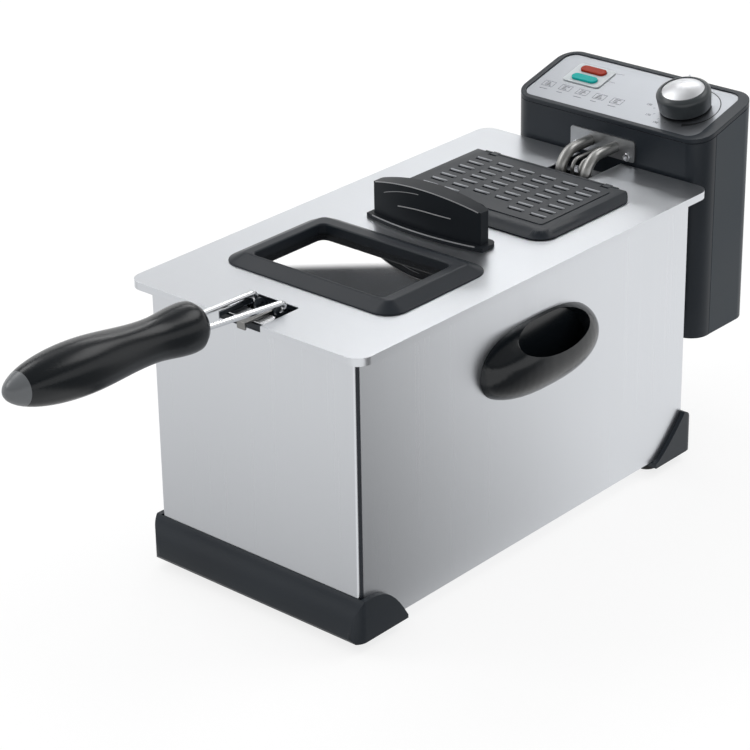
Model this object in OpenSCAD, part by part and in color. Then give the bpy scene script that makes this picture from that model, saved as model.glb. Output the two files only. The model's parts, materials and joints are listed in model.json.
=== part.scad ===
// Countertop deep fryer with a lift-out tank, a hang-on heating unit, a wire basket and a lid.
// Millimetres, +Z up. The front, where the basket handle reaches out, faces -Y.

/* [Housing] */
// Width across the side panels
body_w = 180; // [170:1:200]
// Length from the front panel to the rear panel
body_l = 350; // [340:1:370]
// Height of the lower edge of the panels
panel_z = 12; // [10:1:14]
// Height of the upper edge of the panels
panel_top = 202; // [195:1:215]
// Thickness of the panel sheet
sheet_t = 1; // [0.8:0.1:1.4]
// Radius of the rolled upright edges of the front panel
edge_r = 1.6; // [1.2:0.1:2.4]
// How far these edges stay inside the side panels
edge_in = 1.6; // [1:0.1:2.5]
// Width of the dark corner strip beside the front panel
strip_w = 1.6; // [1.4:0.1:3]
// Height of the frame that closes the panels at the top
top_frame_h = 4; // [3:0.5:6]
// Width of that frame seen from above
top_frame_w = 10; // [8:0.5:12]

/* [Base trim and feet] */
// Height of the feet below the trim
foot_h = 7.5; // [5:0.5:8]
// Diameter of a foot
foot_d = 18; // [14:1:20]
// Distance of the front feet behind the front panel
foot_front_y = 16; // [14:1:24]
// Distance of the rear feet in front of the rear panel
foot_rear_y = 21; // [18:1:28]
// How far the front trim stands out in front of the panel
trim_out = 8; // [6:0.5:10]
// Height of the upper edge of the front trim
trim_top = 38; // [34:1:42]
// How far the side wings of the trim reach back
trim_wing_l = 42; // [36:1:50]
// Thickness of the side wings of the trim and of the rear corner shoes
wing_t = 4; // [3:0.5:6]
// How far the rear shoes stand out behind the rear panel
shoe_out = 11; // [8:0.5:13]
// Height of the rear corner shoes
shoe_top = 40; // [36:1:46]
// Length of a rear shoe under the housing
shoe_l = 34; // [30:1:40]

/* [Side handles] */
// Length of a side handle
pod_l = 119; // [110:1:130]
// Radius of a side handle about its long axis
pod_r = 26.5; // [24:0.5:28]
// Depth of that axis inside the side panel
pod_in = 3.7; // [2:0.1:6]
// Height of the long axis of the side handles
pod_z = 149; // [135:1:155]
// Distance of their middle behind the front panel
pod_y = 180; // [165:1:190]
// Wall of a side handle
pod_wall = 3; // [2.5:0.5:4]

/* [Tank] */
// Gap between the side panel and the tank wall
tank_side_gap = 12; // [11:0.5:16]
// Distance of the tank wall behind the front panel
tank_front_gap = 14; // [13:0.5:16]
// Distance of the tank wall in front of the rear panel
tank_rear_gap = 12; // [11:0.5:13]
// Height of the underside of the tank
tank_z = 32; // [24:1:40]
// Thickness of the tank wall
tank_wall = 1; // [0.8:0.1:1.4]
// Inner corner radius of the tank
tank_r = 22; // [16:1:28]

/* [Lid] */
// Overhang of the lid past the side panels
lid_side_over = 11; // [8:0.5:12]
// Overhang of the lid past the front panel
lid_front_over = 9; // [7:0.5:11]
// Overhang of the lid past the rear panel
lid_rear_over = 11; // [9:0.5:12]
// Thickness of the lid sheet
lid_t = 1; // [0.8:0.1:1.4]
// Height of the rim round the lid
rim_h = 5.5; // [4.5:0.5:6]
// Thickness of the dark liner under the lid sheet
liner_t = 3.5; // [2.5:0.5:5]
// Corner radius of the lid
lid_r = 11; // [8:1:15]
// Width of the notches for the basket handle and for the heating tubes
notch_w = 36; // [34:1:40]
// Distance of the front notch's inner edge behind the front panel
front_notch_y = 27.5; // [27:0.5:30]
// Distance of the rear notch's inner edge in front of the rear panel
rear_notch_y = 30; // [29:1:34]

/* [Window] */
// Width of the window frame
win_w = 150; // [140:1:160]
// Length of the window frame
win_l = 102; // [96:1:106]
// Distance of the window frame behind the front panel
win_y = 50; // [46:1:54]
// Border of the frame at the sides of the glass
win_side = 18; // [14:1:20]
// Border in front of the glass
win_front = 12.5; // [12:0.5:16]
// Border behind the glass
win_back = 20; // [14:1:22]
// Thickness of the glass
glass_t = 3; // [2:0.5:3]
// Height of the window frame and of the filter cover
frame_h = 6; // [5:0.5:7]

/* [Filter cover] */
// Distance from the filter cover to the rear of the housing
cover_rear_gap = 38.5; // [36:0.5:42]
// Distance of the filter cover behind the front panel
cover_y = 207.5; // [206:0.5:210]
// Length of one vent slot
slot_l = 12.5; // [10:0.5:13]
// Width of one vent slot
slot_w = 3; // [2:0.5:4]
// Columns of slots across the cover
slot_cols = 6; // [4:1:6]
// Rows of slots along the cover
slot_rows = 7; // [5:1:7]
// Diameter of the hinge pins
pin_d = 2.5; // [2:0.1:3]

/* [Lid handle] */
// Length of the lid handle
pull_l = 94; // [86:1:100]
// Thickness of the lid handle at its ends
pull_t = 9; // [8:0.5:12]
// How far its front face bulges
pull_bulge = 5; // [3:0.5:6]
// Height of its ends above the lid
pull_end_h = 26; // [20:1:30]
// Height of its middle above the lid
pull_mid_h = 33; // [28:1:38]
// Distance of its middle behind the front panel
pull_y = 178; // [175:1:180]

/* [Basket] */
// Gap between the basket and the tank at the sides
basket_side_gap = 9; // [8:0.5:14]
// Distance of the basket behind the front panel
basket_y = 33; // [33:0.5:36]
// Gap between the basket and the clip on the heating legs
basket_rear_gap = 21; // [16:0.5:40]
// Gap between the basket and the sensor bulbs
basket_floor_gap = 12.7; // [8:0.1:30]
// Height of the basket's rim
basket_top = 190; // [184:1:194]
// Thickness of the mesh
mesh_t = 1.2; // [1:0.1:2]
// Opening of the coarse mesh
mesh_hole = 20; // [14:1:22]
// Diameter of the basket's frame wires
frame_wire_d = 4; // [3:0.5:4.5]
// Corner radius of the basket
basket_r = 24; // [18:1:30]

/* [Basket handle] */
// Diameter of the handle wires
wire_d = 4; // [3.5:0.1:4.2]
// Distance between the handle wires at the hinge
wire_gap = 25; // [24:0.5:26]
// Inward lean of each wire, in degrees
wire_lean = 3; // [2:0.1:3.5]
// Upward tilt of the handle, in degrees
handle_tilt = 3.7; // [2:0.1:6]
// Distance of the hinge behind the front panel
hinge_y = 18.5; // [18:0.5:19]
// Height of the wires above the hinge
hinge_leg = 6.4; // [6.2:0.1:7]
// Distance from the hinge to the grip
grip_start = 67; // [60:1:72]
// Length of the grip
handle_grip_l = 156; // [140:1:170]
// Largest radius of the grip
belly_r = 17.6; // [15:0.2:19]
// Radius of the grip at its waist
waist_r = 14; // [12:0.2:15]
// Radius of the grip's flared end
flare_r = 16.6; // [15:0.2:18]

/* [Control box] */
// Width of the control box
box_w = 169; // [155:1:175]
// Depth of the control box
box_d = 67; // [60:1:70]
// Sideways offset of the control box
box_x = 6; // [0:0.5:10]
// Gap between the rear panel and the control box
box_gap = 14; // [14:0.5:18]
// Height of its underside
box_z = 90; // [80:1:105]
// Height of its front upper edge
box_top = 242; // [238:1:252]
// Slope of its top, in degrees
slope = 14.2; // [10:0.2:18]
// Corner radius of the box
box_r = 15; // [10:1:18]
// Wall of the box
box_wall = 2.5; // [2:0.5:3]
// Depth of the front shell
shell_split = 17; // [16:1:24]
// Height of the top bezel
bezel_h = 3.5; // [3.5:0.5:8]

/* [Panel and knob] */
// Margin of the panel plate from the left side of the box
plate_left = 5; // [4.5:0.5:10]
// Margin of the panel plate from the right side of the box
plate_right = 10; // [5:0.5:12]
// Margin of the panel plate from the front of the box
plate_front = 4; // [4:0.5:7]
// Margin of the panel plate from the back of the box
plate_back = 4; // [4:0.5:10]
// Thickness of the panel plate
plate_t = 1.2; // [1:0.1:2]
// Sideways place of the knob
knob_x = 51; // [46:0.5:56]
// Distance of the knob from the box's front edge along the slope
knob_v = 35.5; // [30:0.5:38]
// Diameter of the knob
knob_d = 39.5; // [36:0.5:42]
// Height of the knob
knob_h = 15.5; // [14:0.5:20]
// Diameter of the thermostat shaft
shaft_d = 6; // [5:0.5:8]
// Length of an indicator lens
lens_l = 22; // [18:1:26]
// Width of an indicator lens
lens_w = 7; // [6:0.5:8]
// Sideways place of the lenses
lens_x = -40; // [-46:0.5:-36]
// Distance between the two lenses
lens_pitch = 11.4; // [10:0.2:12]

/* [Heating unit] */
// Diameter of the heating tube
tube_d = 8; // [6.5:0.5:9]
// Distance between the two legs of the heating tube
leg_gap = 22; // [20:0.5:24]
// Sideways place of the middle of the heating tube
leg_x = 5; // [2:0.5:6]
// Distance of the legs in front of the rear panel
leg_y = 22; // [20:0.5:23]
// Height of the heating tube where it leaves the box
root_z = 222.5; // [221:0.5:223]
// Height of the heating loop above the tank floor
loop_h = 22; // [16:1:28]

/* [Fits] */
// Gap between parts that lift apart, where they rest
seat_gap = 0.3; // [0.2:0.05:0.4]
// Sliding gap between the control box tongue and its guide
slide_gap = 0.4; // [0.3:0.05:0.6]
// Running clearance on the radius of a pin or shaft
run_gap = 0.08; // [0.05:0.01:0.1]

/* [Hidden] */
$fn = 48;
eps = 0.01;
big = 600;

// Heights of the stack from the panels to the lid
frame_top = panel_top + top_frame_h;
flange_z = frame_top + seat_gap;
flange_t = 1;
liner_z = flange_z + flange_t + seat_gap - 0.1;
sheet_z = liner_z + liner_t;
lid_top = sheet_z + lid_t;
rim_z = lid_top - rim_h;

half_w = body_w / 2;
trim_z = foot_h;

// Reach along Y, which puts the origin in the middle of the whole
box_y = body_l + box_gap;
gland_out = 6;
handle_reach = (grip_start + handle_grip_l) * cos(handle_tilt) - hinge_leg * sin(handle_tilt) - hinge_y;
mid_y = (box_y + box_d + gland_out - handle_reach) / 2;

// Tank outline
tank_x = half_w - tank_side_gap;
tank_y0 = tank_front_gap;
tank_y1 = body_l - tank_rear_gap;

// Basket outline
basket_x = tank_x - basket_side_gap;
bracket_t = 2;
wire_r = wire_d / 2;
hinge_z = flange_z + flange_t + 3.5;
bracket_y = basket_y - frame_wire_d - seat_gap / 2 - bracket_t;
ear_gap = 0.8;
ear_out = wire_gap / 2 - wire_r - ear_gap;
ear_t = 2;
hook_w = 7;
wire_in_grip = 42;

// Heating legs and the sensor bulbs, which bound the basket
tube_r = tube_d / 2;
leg_back = body_l - leg_y;
clip_wall = 2.5;
loop_z = tank_z + tank_wall + loop_h;
bulb_r = 3;
bulb_z = loop_z + tube_r + bulb_r + seat_gap;
basket_y1 = leg_back - tube_r - clip_wall - basket_rear_gap;
basket_z = bulb_z + bulb_r + basket_floor_gap;
basket_l = basket_y1 - basket_y;
basket_h = basket_top - basket_z;

// Screws
screw_r = 1.8;
screw_head_r = 3.6;
screw_head_t = 2;
screw_l = 9;

// Colours
steel = [0.78, 0.79, 0.80];
bright = [0.88, 0.89, 0.90];
black = [0.10, 0.10, 0.11];
dark_grey = [0.22, 0.23, 0.24];
rubber = [0.06, 0.06, 0.06];

// ---------------------------------------------------------------- helpers

// Everything is drawn from the front panel back, then moved to the common origin
module placed() { translate([0, -mid_y, 0]) children(); }

// Rectangle from x0,y0 to x1,y1 with round corners
module round_rect(x0, y0, x1, y1, r) {
  union() {
    translate([x0 + r, y0]) square([x1 - x0 - 2 * r, y1 - y0]);
    translate([x0, y0 + r]) square([x1 - x0, y1 - y0 - 2 * r]);
    for (x = [x0 + r, x1 - r], y = [y0 + r, y1 - r]) translate([x, y]) circle(r);
  }
}

module slab(x0, y0, x1, y1, r, z0, z1) {
  translate([0, 0, z0]) linear_extrude(z1 - z0) round_rect(x0, y0, x1, y1, r);
}

module block(x0, y0, z0, x1, y1, z1) {
  translate([x0, y0, z0]) cube([x1 - x0, y1 - y0, z1 - z0]);
}

// Profile given in Y and Z, extruded along X from x0 to x1
module along_x(x0, x1) {
  translate([x0, 0, 0]) rotate([90, 0, 90]) linear_extrude(x1 - x0) children();
}

// Profile given in X and Z, extruded along Y from y0 to y1
module along_y(y0, y1) {
  translate([0, y1, 0]) rotate([90, 0, 0]) linear_extrude(y1 - y0) children();
}

module both_sides() {
  children();
  mirror([1, 0, 0]) children();
}

// Slab with round corners whose sides lean in by bevel above a low upright foot
bevel_foot = 0.8;
module bevel_slab(w, y0, l, r, z0, h, bevel) {
  rise = h - bevel_foot;
  slab(-w / 2, y0, w / 2, y0 + l, r, z0, z0 + bevel_foot + eps);
  translate([0, 0, z0 + bevel_foot]) {
    along_y(y0 + r, y0 + l - r)
      polygon([[-w / 2, 0], [w / 2, 0], [w / 2 - bevel, rise], [bevel - w / 2, rise]]);
    along_x(r - w / 2, w / 2 - r)
      polygon([[y0, 0], [y0 + l, 0], [y0 + l - bevel, rise], [y0 + bevel, rise]]);
    for (x = [r - w / 2, w / 2 - r], y = [y0 + r, y0 + l - r])
      translate([x, y, 0]) cylinder(r1 = r, r2 = r - bevel, h = rise);
  }
}

// Straight rod between two points
module rod(p, q, r) {
  d = q - p;
  len = norm(d);
  translate(p) rotate([0, acos(d.z / len), atan2(d.y, d.x)]) cylinder(r = r, h = len);
}

function unit(v) = v / norm(v);
function turn(a, b) = acos(max(-1, min(1, unit(a) * unit(b))));

// Elbow of bend radius bend at corner p between the directions a and b
module elbow(p, a, b, r, bend) {
  phi = turn(a, b);
  e1 = unit(unit(b) - unit(a));
  e3 = unit(cross(unit(a), unit(b)));
  e2 = cross(e3, e1);
  c = p + e1 * bend / cos(phi / 2);
  multmatrix([
    [e1.x, e2.x, e3.x, c.x], [e1.y, e2.y, e3.y, c.y], [e1.z, e2.z, e3.z, c.z], [0, 0, 0, 1]])
    rotate([0, 0, 180 - phi / 2]) rotate_extrude(angle = phi) translate([bend, 0]) circle(r);
}

// Bent tube through points, each corner an elbow; closed joins the last point to the first.
// The elbows are a hair thicker than the straight lengths, which run a little way into them.
elbow_swell = 0.03;
elbow_lap = 0.2;
module bent_tube(pts, r, bend, closed = false) {
  n = len(pts);
  trim = [for (i = [0:n - 1])
    (!closed && (i == 0 || i == n - 1)) ? 0
    : bend * tan(turn(pts[i] - pts[(i + n - 1) % n], pts[(i + 1) % n] - pts[i]) / 2) - elbow_lap];
  union() {
    for (i = [0:closed ? n - 1 : n - 2]) {
      j = (i + 1) % n;
      d = unit(pts[j] - pts[i]);
      rod(pts[i] + d * trim[i], pts[j] - d * trim[j], r);
    }
    for (i = [closed ? 0 : 1:closed ? n - 1 : n - 2])
      elbow(pts[i], pts[i] - pts[(i + n - 1) % n], pts[(i + 1) % n] - pts[i], r + elbow_swell, bend);
  }
}

// ---------------------------------------------------------------- housing

// Sheet with rolled upright edges that turn back beside the corner strips
module front_panel() {
  roll_x = half_w - edge_in - edge_r;
  color(steel) placed() translate([0, 0, panel_z]) linear_extrude(panel_top - panel_z) difference() {
    union() {
      translate([-roll_x, 0]) square([2 * roll_x, edge_r]);
      for (s = [-1, 1]) translate([s * roll_x, edge_r]) circle(edge_r);
    }
    translate([-roll_x, sheet_t]) square([2 * roll_x, big]);
    for (s = [-1, 1]) translate([s * roll_x, edge_r]) circle(edge_r - sheet_t);
    translate([-half_w, edge_r]) square([body_w, big]);
  }
}

panel_rear_fold = 9;
panel_front_fold = 8;
module side_panel(s) {
  color(steel) placed() mirror([s < 0 ? 1 : 0, 0, 0]) difference() {
    union() {
      block(half_w - sheet_t, edge_r + strip_w, panel_z, half_w, body_l, panel_top);
      block(half_w - panel_rear_fold, body_l - sheet_t, panel_z, half_w - sheet_t + eps, body_l, panel_top);
      block(half_w - panel_front_fold, edge_r + strip_w, panel_z, half_w - sheet_t + eps,
            edge_r + strip_w + sheet_t, panel_top);
    }
    for (y = screw_rows()) translate([half_w - sheet_t - 1, y, pod_z]) rotate([0, 90, 0])
      cylinder(r = pod_screw_r + run_gap, h = sheet_t + 2);
  }
}
module side_panel_left() side_panel(-1);
module side_panel_right() side_panel(1);

strip_inner = 7.5;
strip_outer = 0.8;
module corner_strip(s) {
  color(black) placed() mirror([s < 0 ? 1 : 0, 0, 0])
    block(half_w - strip_inner, edge_r + 0.1, panel_z, half_w - strip_outer, edge_r + strip_w - 0.1,
          panel_top);
}
module corner_strip_left() corner_strip(-1);
module corner_strip_right() corner_strip(1);

module rear_panel() {
  color(steel) placed()
    block(-half_w + 9.1, body_l - sheet_t, panel_z, half_w - 9.1, body_l, panel_top);
}

base_t = 1.5;
vent_l = 90;
vent_w = 5;
module base_plate() {
  color(steel) placed() difference() {
    block(-half_w + sheet_t + 0.1, edge_r + strip_w + sheet_t + 0.1, panel_z,
          half_w - sheet_t - 0.1, body_l - sheet_t - 0.1, panel_z + base_t);
    for (i = [-3:3]) translate([0, body_l / 2 + i * 16, panel_z - 1])
      linear_extrude(base_t + 2)
        round_rect(-vent_l / 2, -vent_w / 2, vent_l / 2, vent_w / 2, vent_w / 2 - eps);
  }
}

// Dark ring that closes the panels at the top and carries the tank
module top_frame() {
  color(black) placed() difference() {
    slab(-half_w + 0.6, 0.6, half_w - 0.6, body_l - 0.6, edge_r, panel_top, frame_top);
    slab(-half_w + top_frame_w, top_frame_w + 2, half_w - top_frame_w, body_l - top_frame_w,
         tank_r, panel_top - 1, frame_top + 1);
  }
}

// Side outline of the front trim: nose in front, wing sweeping back and down
module trim_side() {
  polygon(concat(
    [[0, trim_z], [-trim_out + 2, trim_z], [-trim_out, trim_z + 3]],
    [for (t = [0:0.1:1]) [-trim_out + (trim_out - 0.4) * pow(t, 2.6),
                         trim_z + 9 + (trim_top - trim_z - 9) * t]],
    [[0, trim_top]],
    [for (t = [0.1:0.1:1]) [trim_wing_l * t,
                           trim_top + (panel_z - 2 - trim_top) * (1 - cos(90 * pow(t, 1.6)))]],
    [[trim_wing_l, trim_z]]));
}

module front_trim() {
  color(black) placed() difference() {
    intersection() {
      along_x(-half_w - wing_t, half_w + wing_t) trim_side();
      slab(-half_w - wing_t, -trim_out, half_w + wing_t, trim_wing_l + 20, 9, 0, trim_top + 1);
    }
    block(-half_w - 0.2, -0.2, panel_z - 0.1, half_w + 0.2, big, big);
  }
}

// Side outline of a rear shoe: sweeping up to the back
module shoe_side() {
  polygon(concat(
    [[body_l - shoe_l, trim_z], [body_l - shoe_l, panel_z - 1]],
    [for (t = [0:0.1:1]) [body_l - shoe_l + shoe_l * pow(t, 0.9),
                         panel_z - 1 + (shoe_top - panel_z + 1) * pow(t, 1.15)]],
    [for (t = [0.1:0.15:1]) [body_l + shoe_out * sin(90 * t) * 0.9,
                            shoe_top - (shoe_top - trim_z) * 0.55 * (1 - cos(90 * t))]],
    [[body_l + shoe_out, trim_z + 14], [body_l + shoe_out, trim_z]]));
}

shoe_in = 26;
module rear_shoe(s) {
  color(black) placed() mirror([s < 0 ? 1 : 0, 0, 0]) difference() {
    intersection() {
      along_x(half_w - shoe_in, half_w + wing_t) shoe_side();
      slab(-half_w, 0, half_w + wing_t, body_l + shoe_out, 8, 0, shoe_top + 1);
    }
    block(0, -1, panel_z - 0.1, half_w + 0.2, body_l + 0.2, big);
  }
}
module rear_shoe_left() rear_shoe(-1);
module rear_shoe_right() rear_shoe(1);

foot_x = half_w - 14;
module foot(s, y) {
  color(rubber) placed() translate([s * foot_x, y, 0]) union() {
    cylinder(d1 = foot_d - 2, d2 = foot_d, h = 1);
    translate([0, 0, 1]) cylinder(d = foot_d, h = foot_h - 1);
  }
}
module foot_front_left() foot(-1, foot_front_y);
module foot_front_right() foot(1, foot_front_y);
module foot_rear_left() foot(-1, body_l - foot_rear_y);
module foot_rear_right() foot(1, body_l - foot_rear_y);

// Cup handle: half of an oval pod, hollow, with a slanting oval mouth for the fingers
function sagitta_r(chord, rise) = (chord * chord / 4 + rise * rise) / (2 * rise);
pod_screw_r = 2;
pod_screw_l = 8;
pod_head_r = 3.8;
pod_head_t = 2;
function screw_rows() = [pod_y - pod_l / 2 + 10, pod_y + pod_l / 2 - 10];

// Curve between an ellipse and a rectangle, from its half length a and half width b
oval_power = 2.5;
oval_steps = 12;
function signed_pow(v, e) = sign(v) * pow(abs(v), e);
function oval(a, b, i, n) =
  [b * signed_pow(cos(i * 90 / n), 2 / oval_power), a * signed_pow(sin(i * 90 / n), 2 / oval_power)];

// Body of revolution about the Y axis
module pod(a, b) {
  rotate([90, 0, 0]) rotate_extrude($fn = 72)
    polygon([for (i = [-oval_steps:oval_steps]) oval(a, b, i, oval_steps)]);
}

cup_back = 3;
cup_l = 84;
mouth_l = 74;
mouth_w = 29;
mouth_tilt = 45;
mouth_shift = 3;
module side_handle(s) {
  color(black) placed() mirror([s < 0 ? 1 : 0, 0, 0]) translate([half_w - pod_in, pod_y, pod_z])
    difference() {
      intersection() {
        pod(pod_l / 2, pod_r);
        block(pod_in + 0.1, -big, -big, big, big, big);
      }
      intersection() {
        translate([0, mouth_shift - 1, 0]) pod(cup_l / 2, pod_r - pod_wall);
        block(pod_in + cup_back, -big, -big, big, big, big);
      }
      intersection() {
        rotate([0, mouth_tilt, 0]) translate([0, mouth_shift, pod_r / 2]) linear_extrude(pod_r)
          mouth_outline();
        block(pod_in + cup_back, -big, -big, big, big, big);
      }
      for (y = screw_rows()) translate([0, y - pod_y, 0]) rotate([0, 90, 0])
        cylinder(r = pod_screw_r + run_gap, h = pod_in + 7);
    }
}
module mouth_outline() {
  polygon([for (i = [0:35]) [mouth_w / 2 * cos(i * 10), mouth_l / 2 * sin(i * 10)]]);
}
module side_handle_left() side_handle(-1);
module side_handle_right() side_handle(1);

module side_handle_screws() {
  color(bright) placed() both_sides() for (y = screw_rows())
    translate([half_w - sheet_t - pod_head_t - 0.1, y, pod_z]) rotate([0, 90, 0]) union() {
      cylinder(r = pod_head_r, h = pod_head_t);
      cylinder(r = pod_screw_r, h = pod_screw_l);
    }
}

// Upright channel on the rear panel in which the control box hangs
guide_w = 76;
guide_z0 = 104;
guide_z1 = 198;
guide_back = 2;
lip_t = 3;
neck_w = guide_w - 24;
guide_front = box_gap - 5;
module rear_guide() {
  color(black) placed() translate([box_x, body_l, 0]) union() {
    block(-guide_w / 2, 0, guide_z0, guide_w / 2, guide_back, guide_z1);
    block(-guide_w / 2, 0, guide_z0 - 3, guide_w / 2, guide_front, guide_z0);
    both_sides() {
      block(guide_w / 2 - 3, 0, guide_z0, guide_w / 2, guide_front, guide_z1);
      block(neck_w / 2, guide_front - lip_t, guide_z0, guide_w / 2, guide_front, guide_z1);
    }
  }
}

// ---------------------------------------------------------------- tank

module oil_tank() {
  color(bright) placed() difference() {
    union() {
      slab(-tank_x, tank_y0, tank_x, tank_y1, tank_r + tank_wall, tank_z, flange_z + eps);
      slab(-half_w + 2, 2, half_w - 2, body_l - 2, 6, flange_z, flange_z + flange_t);
    }
    slab(-tank_x + tank_wall, tank_y0 + tank_wall, tank_x - tank_wall, tank_y1 - tank_wall,
         tank_r, tank_z + tank_wall, flange_z + flange_t + 1);
  }
}

// ---------------------------------------------------------------- control box

box_x0 = box_x - box_w / 2;
box_x1 = box_x + box_w / 2;
box_y1 = box_y + box_d;

// Half space below the sloped top, drop lower than it
module below_top(drop = 0) {
  translate([0, box_y, box_top - drop]) rotate([slope, 0, 0])
    translate([-big, -big, -big]) cube([2 * big, 2 * big, big]);
}

// Frame of the sloped top: X across, Y up the slope from the front edge, Z out of it
module on_slope() { translate([0, box_y, box_top]) rotate([slope, 0, 0]) children(); }

module box_outline(inset, z0, z1) {
  slab(box_x0 + inset, box_y + inset, box_x1 - inset, box_y1 - inset, box_r - inset, z0, z1);
}

module box_shell() {
  intersection() {
    difference() {
      box_outline(0, box_z, box_top + box_d);
      box_outline(box_wall, box_z + box_wall, box_top + box_d + 1);
    }
    below_top(bezel_h);
  }
}

tongue_z0 = guide_z0 + seat_gap;
tongue_z1 = guide_z1 - 4;
head_y0 = body_l + guide_back + slide_gap;
head_y1 = body_l + guide_front - lip_t - slide_gap;
root_hole_r = tube_d / 2 + 0.1;
sensor_r = 1.5;
sensor_gap = 3.5;
sensor_z = root_z - 5;

// Front half of the box with the hanging tongue
module front_shell() {
  color(black) placed() difference() {
    union() {
      intersection() {
        box_shell();
        block(-big, box_y - 1, 0, big, box_y + shell_split, big);
      }
      translate([box_x, 0, 0]) union() {
        block(-neck_w / 2 + slide_gap, head_y0, tongue_z0, neck_w / 2 - slide_gap, box_y + eps, tongue_z1);
        block(-guide_w / 2 + 3 + slide_gap, head_y0, tongue_z0,
              guide_w / 2 - 3 - slide_gap, head_y1, tongue_z1);
      }
    }
    for (s = [-1, 1]) translate([leg_x + s * leg_gap / 2, box_y - 1, root_z]) rotate([-90, 0, 0])
      cylinder(r = root_hole_r, h = box_wall + 2);
    for (s = [-1, 1]) translate([leg_x + s * sensor_gap, box_y - 1, sensor_z]) rotate([-90, 0, 0])
      cylinder(r = sensor_r + 0.1, h = box_wall + 2);
    for (s = [-1, 1]) translate([leg_x + s * flange_screw_x, box_y - 1, flange_screw_z]) rotate([-90, 0, 0])
      cylinder(r = screw_r + run_gap, h = box_wall + 2);
  }
}

// Rear half of the box, with holes for the reset button and the cord gland
reset_x = box_x - 45;
reset_z = box_z + 40;
reset_r = 4;
gland_x = box_x + 52;
gland_z = box_z + 22;
gland_r = 7;
part_line = 0.3;
module rear_cover() {
  color(dark_grey) placed() difference() {
    intersection() {
      box_shell();
      block(-big, box_y + shell_split + part_line, 0, big, big * 2, big);
    }
    translate([reset_x, box_y1 - box_wall - 1, reset_z]) rotate([-90, 0, 0])
      cylinder(r = reset_r + run_gap, h = box_wall + 2);
    translate([gland_x, box_y1 - box_wall - 1, gland_z]) rotate([-90, 0, 0])
      cylinder(r = gland_r + 0.02, h = box_wall + 2);
    for (x = cover_screw_x()) translate([x, box_y + shell_split + cover_screw_in, box_z - 1])
      cylinder(r = screw_r + run_gap, h = box_wall + 2);
  }
}

cover_screw_half = 60;
cover_screw_in = 9;
function cover_screw_x() = [box_x - cover_screw_half, box_x + cover_screw_half];
module cover_screws() {
  color(bright) placed() for (x = cover_screw_x())
    translate([x, box_y + shell_split + cover_screw_in, box_z - screw_head_t]) union() {
      cylinder(r = screw_head_r, h = screw_head_t);
      cylinder(r = screw_r, h = screw_l);
    }
}

slope_len = box_d / cos(slope);
plate_x0 = box_x0 + plate_left;
plate_x1 = box_x1 - plate_right;
plate_v0 = plate_front;
plate_v1 = slope_len - plate_back;
plate_r = 9;
plate_drop = 0.8;
plate_lip = 3;
module top_bezel() {
  color(black) placed() difference() {
    intersection() {
      box_outline(0, box_z, box_top + box_d);
      difference() {
        below_top();
        below_top(bezel_h - part_line);
      }
    }
    on_slope() {
      slab(plate_x0, plate_v0, plate_x1, plate_v1, plate_r, -plate_drop - plate_t, 2);
      slab(plate_x0 + plate_lip, plate_v0 + plate_lip, plate_x1 - plate_lip, plate_v1 - plate_lip,
           plate_r - plate_lip, -2 * bezel_h, 2);
    }
  }
}

lamp_v = 43;
lamp_vs = [lamp_v - lens_pitch / 2, lamp_v + lens_pitch / 2];
module lens_outline(v, gap = 0) {
  translate([lens_x, v]) round_rect(-lens_l / 2 - gap, -lens_w / 2 - gap,
    lens_l / 2 + gap, lens_w / 2 + gap, lens_w / 2 + gap - eps);
}

bush_r = 4.5;
module panel_plate() {
  color(steel) placed() on_slope() difference() {
    slab(plate_x0 + 0.1, plate_v0 + 0.1, plate_x1 - 0.1, plate_v1 - 0.1, plate_r,
         -plate_drop - plate_t, -plate_drop);
    translate([knob_x, knob_v, -5]) cylinder(r = bush_r + 0.05, h = 8);
    translate([0, 0, -5]) linear_extrude(8) for (v = lamp_vs) lens_outline(v, 0.15);
  }
}

lamp_frame_t = 0.8;
lamp_frame_edge = 3;
lamp_frame_w = 33;
module lamp_frame() {
  color([0.85, 0.86, 0.86]) placed() on_slope() translate([0, 0, -plate_drop]) difference() {
    slab(lens_x - lamp_frame_w / 2, lamp_vs[0] - lens_w / 2 - lamp_frame_edge, lens_x + lamp_frame_w / 2,
         lamp_vs[1] + lens_w / 2 + lamp_frame_edge, 3, 0, lamp_frame_t);
    translate([0, 0, -1]) linear_extrude(lamp_frame_t + 2) for (v = lamp_vs) lens_outline(v, 0.15);
  }
}

lens_out = 1.6;
holder_drop = 5;
module lens(v) {
  on_slope() translate([0, 0, -holder_drop]) linear_extrude(holder_drop + lens_out) lens_outline(v);
}
module lamp_lens_red() color("red") placed() lens(lamp_vs[1]);
module lamp_lens_green() color([0.1, 0.65, 0.6]) placed() lens(lamp_vs[0]);

holder_leg = 3;
module lamp_holder() {
  reach = lens_l / 2 + 1;
  half_v = lens_pitch / 2 + lens_w;
  color([0.8, 0.8, 0.75]) placed() on_slope() translate([lens_x, lamp_v, 0]) union() {
    slab(-reach - holder_leg, -half_v, reach + holder_leg, half_v, 2,
         -holder_drop - 12, -holder_drop - 0.1);
    both_sides() block(reach, -half_v, -holder_drop - holder_leg, reach + holder_leg, half_v,
                       -plate_drop - plate_t - 0.1);
  }
}

// Thermostat below the plate; its bush comes up through it and the shaft turns in the bush
stat_top = -plate_drop - plate_t - 0.1;
stat_h = 20;
bush_top = 1;
module thermostat() {
  color([0.75, 0.7, 0.6]) placed() on_slope() translate([knob_x, knob_v, 0]) difference() {
    union() {
      slab(-17, -14, 17, 14, 3, stat_top - stat_h, stat_top);
      translate([0, 0, stat_top - 1]) cylinder(r = bush_r, h = bush_top - stat_top + 1);
    }
    translate([0, 0, shaft_z0 - 0.3]) cylinder(r = shaft_d / 2 + run_gap, h = big);
  }
}

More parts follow.
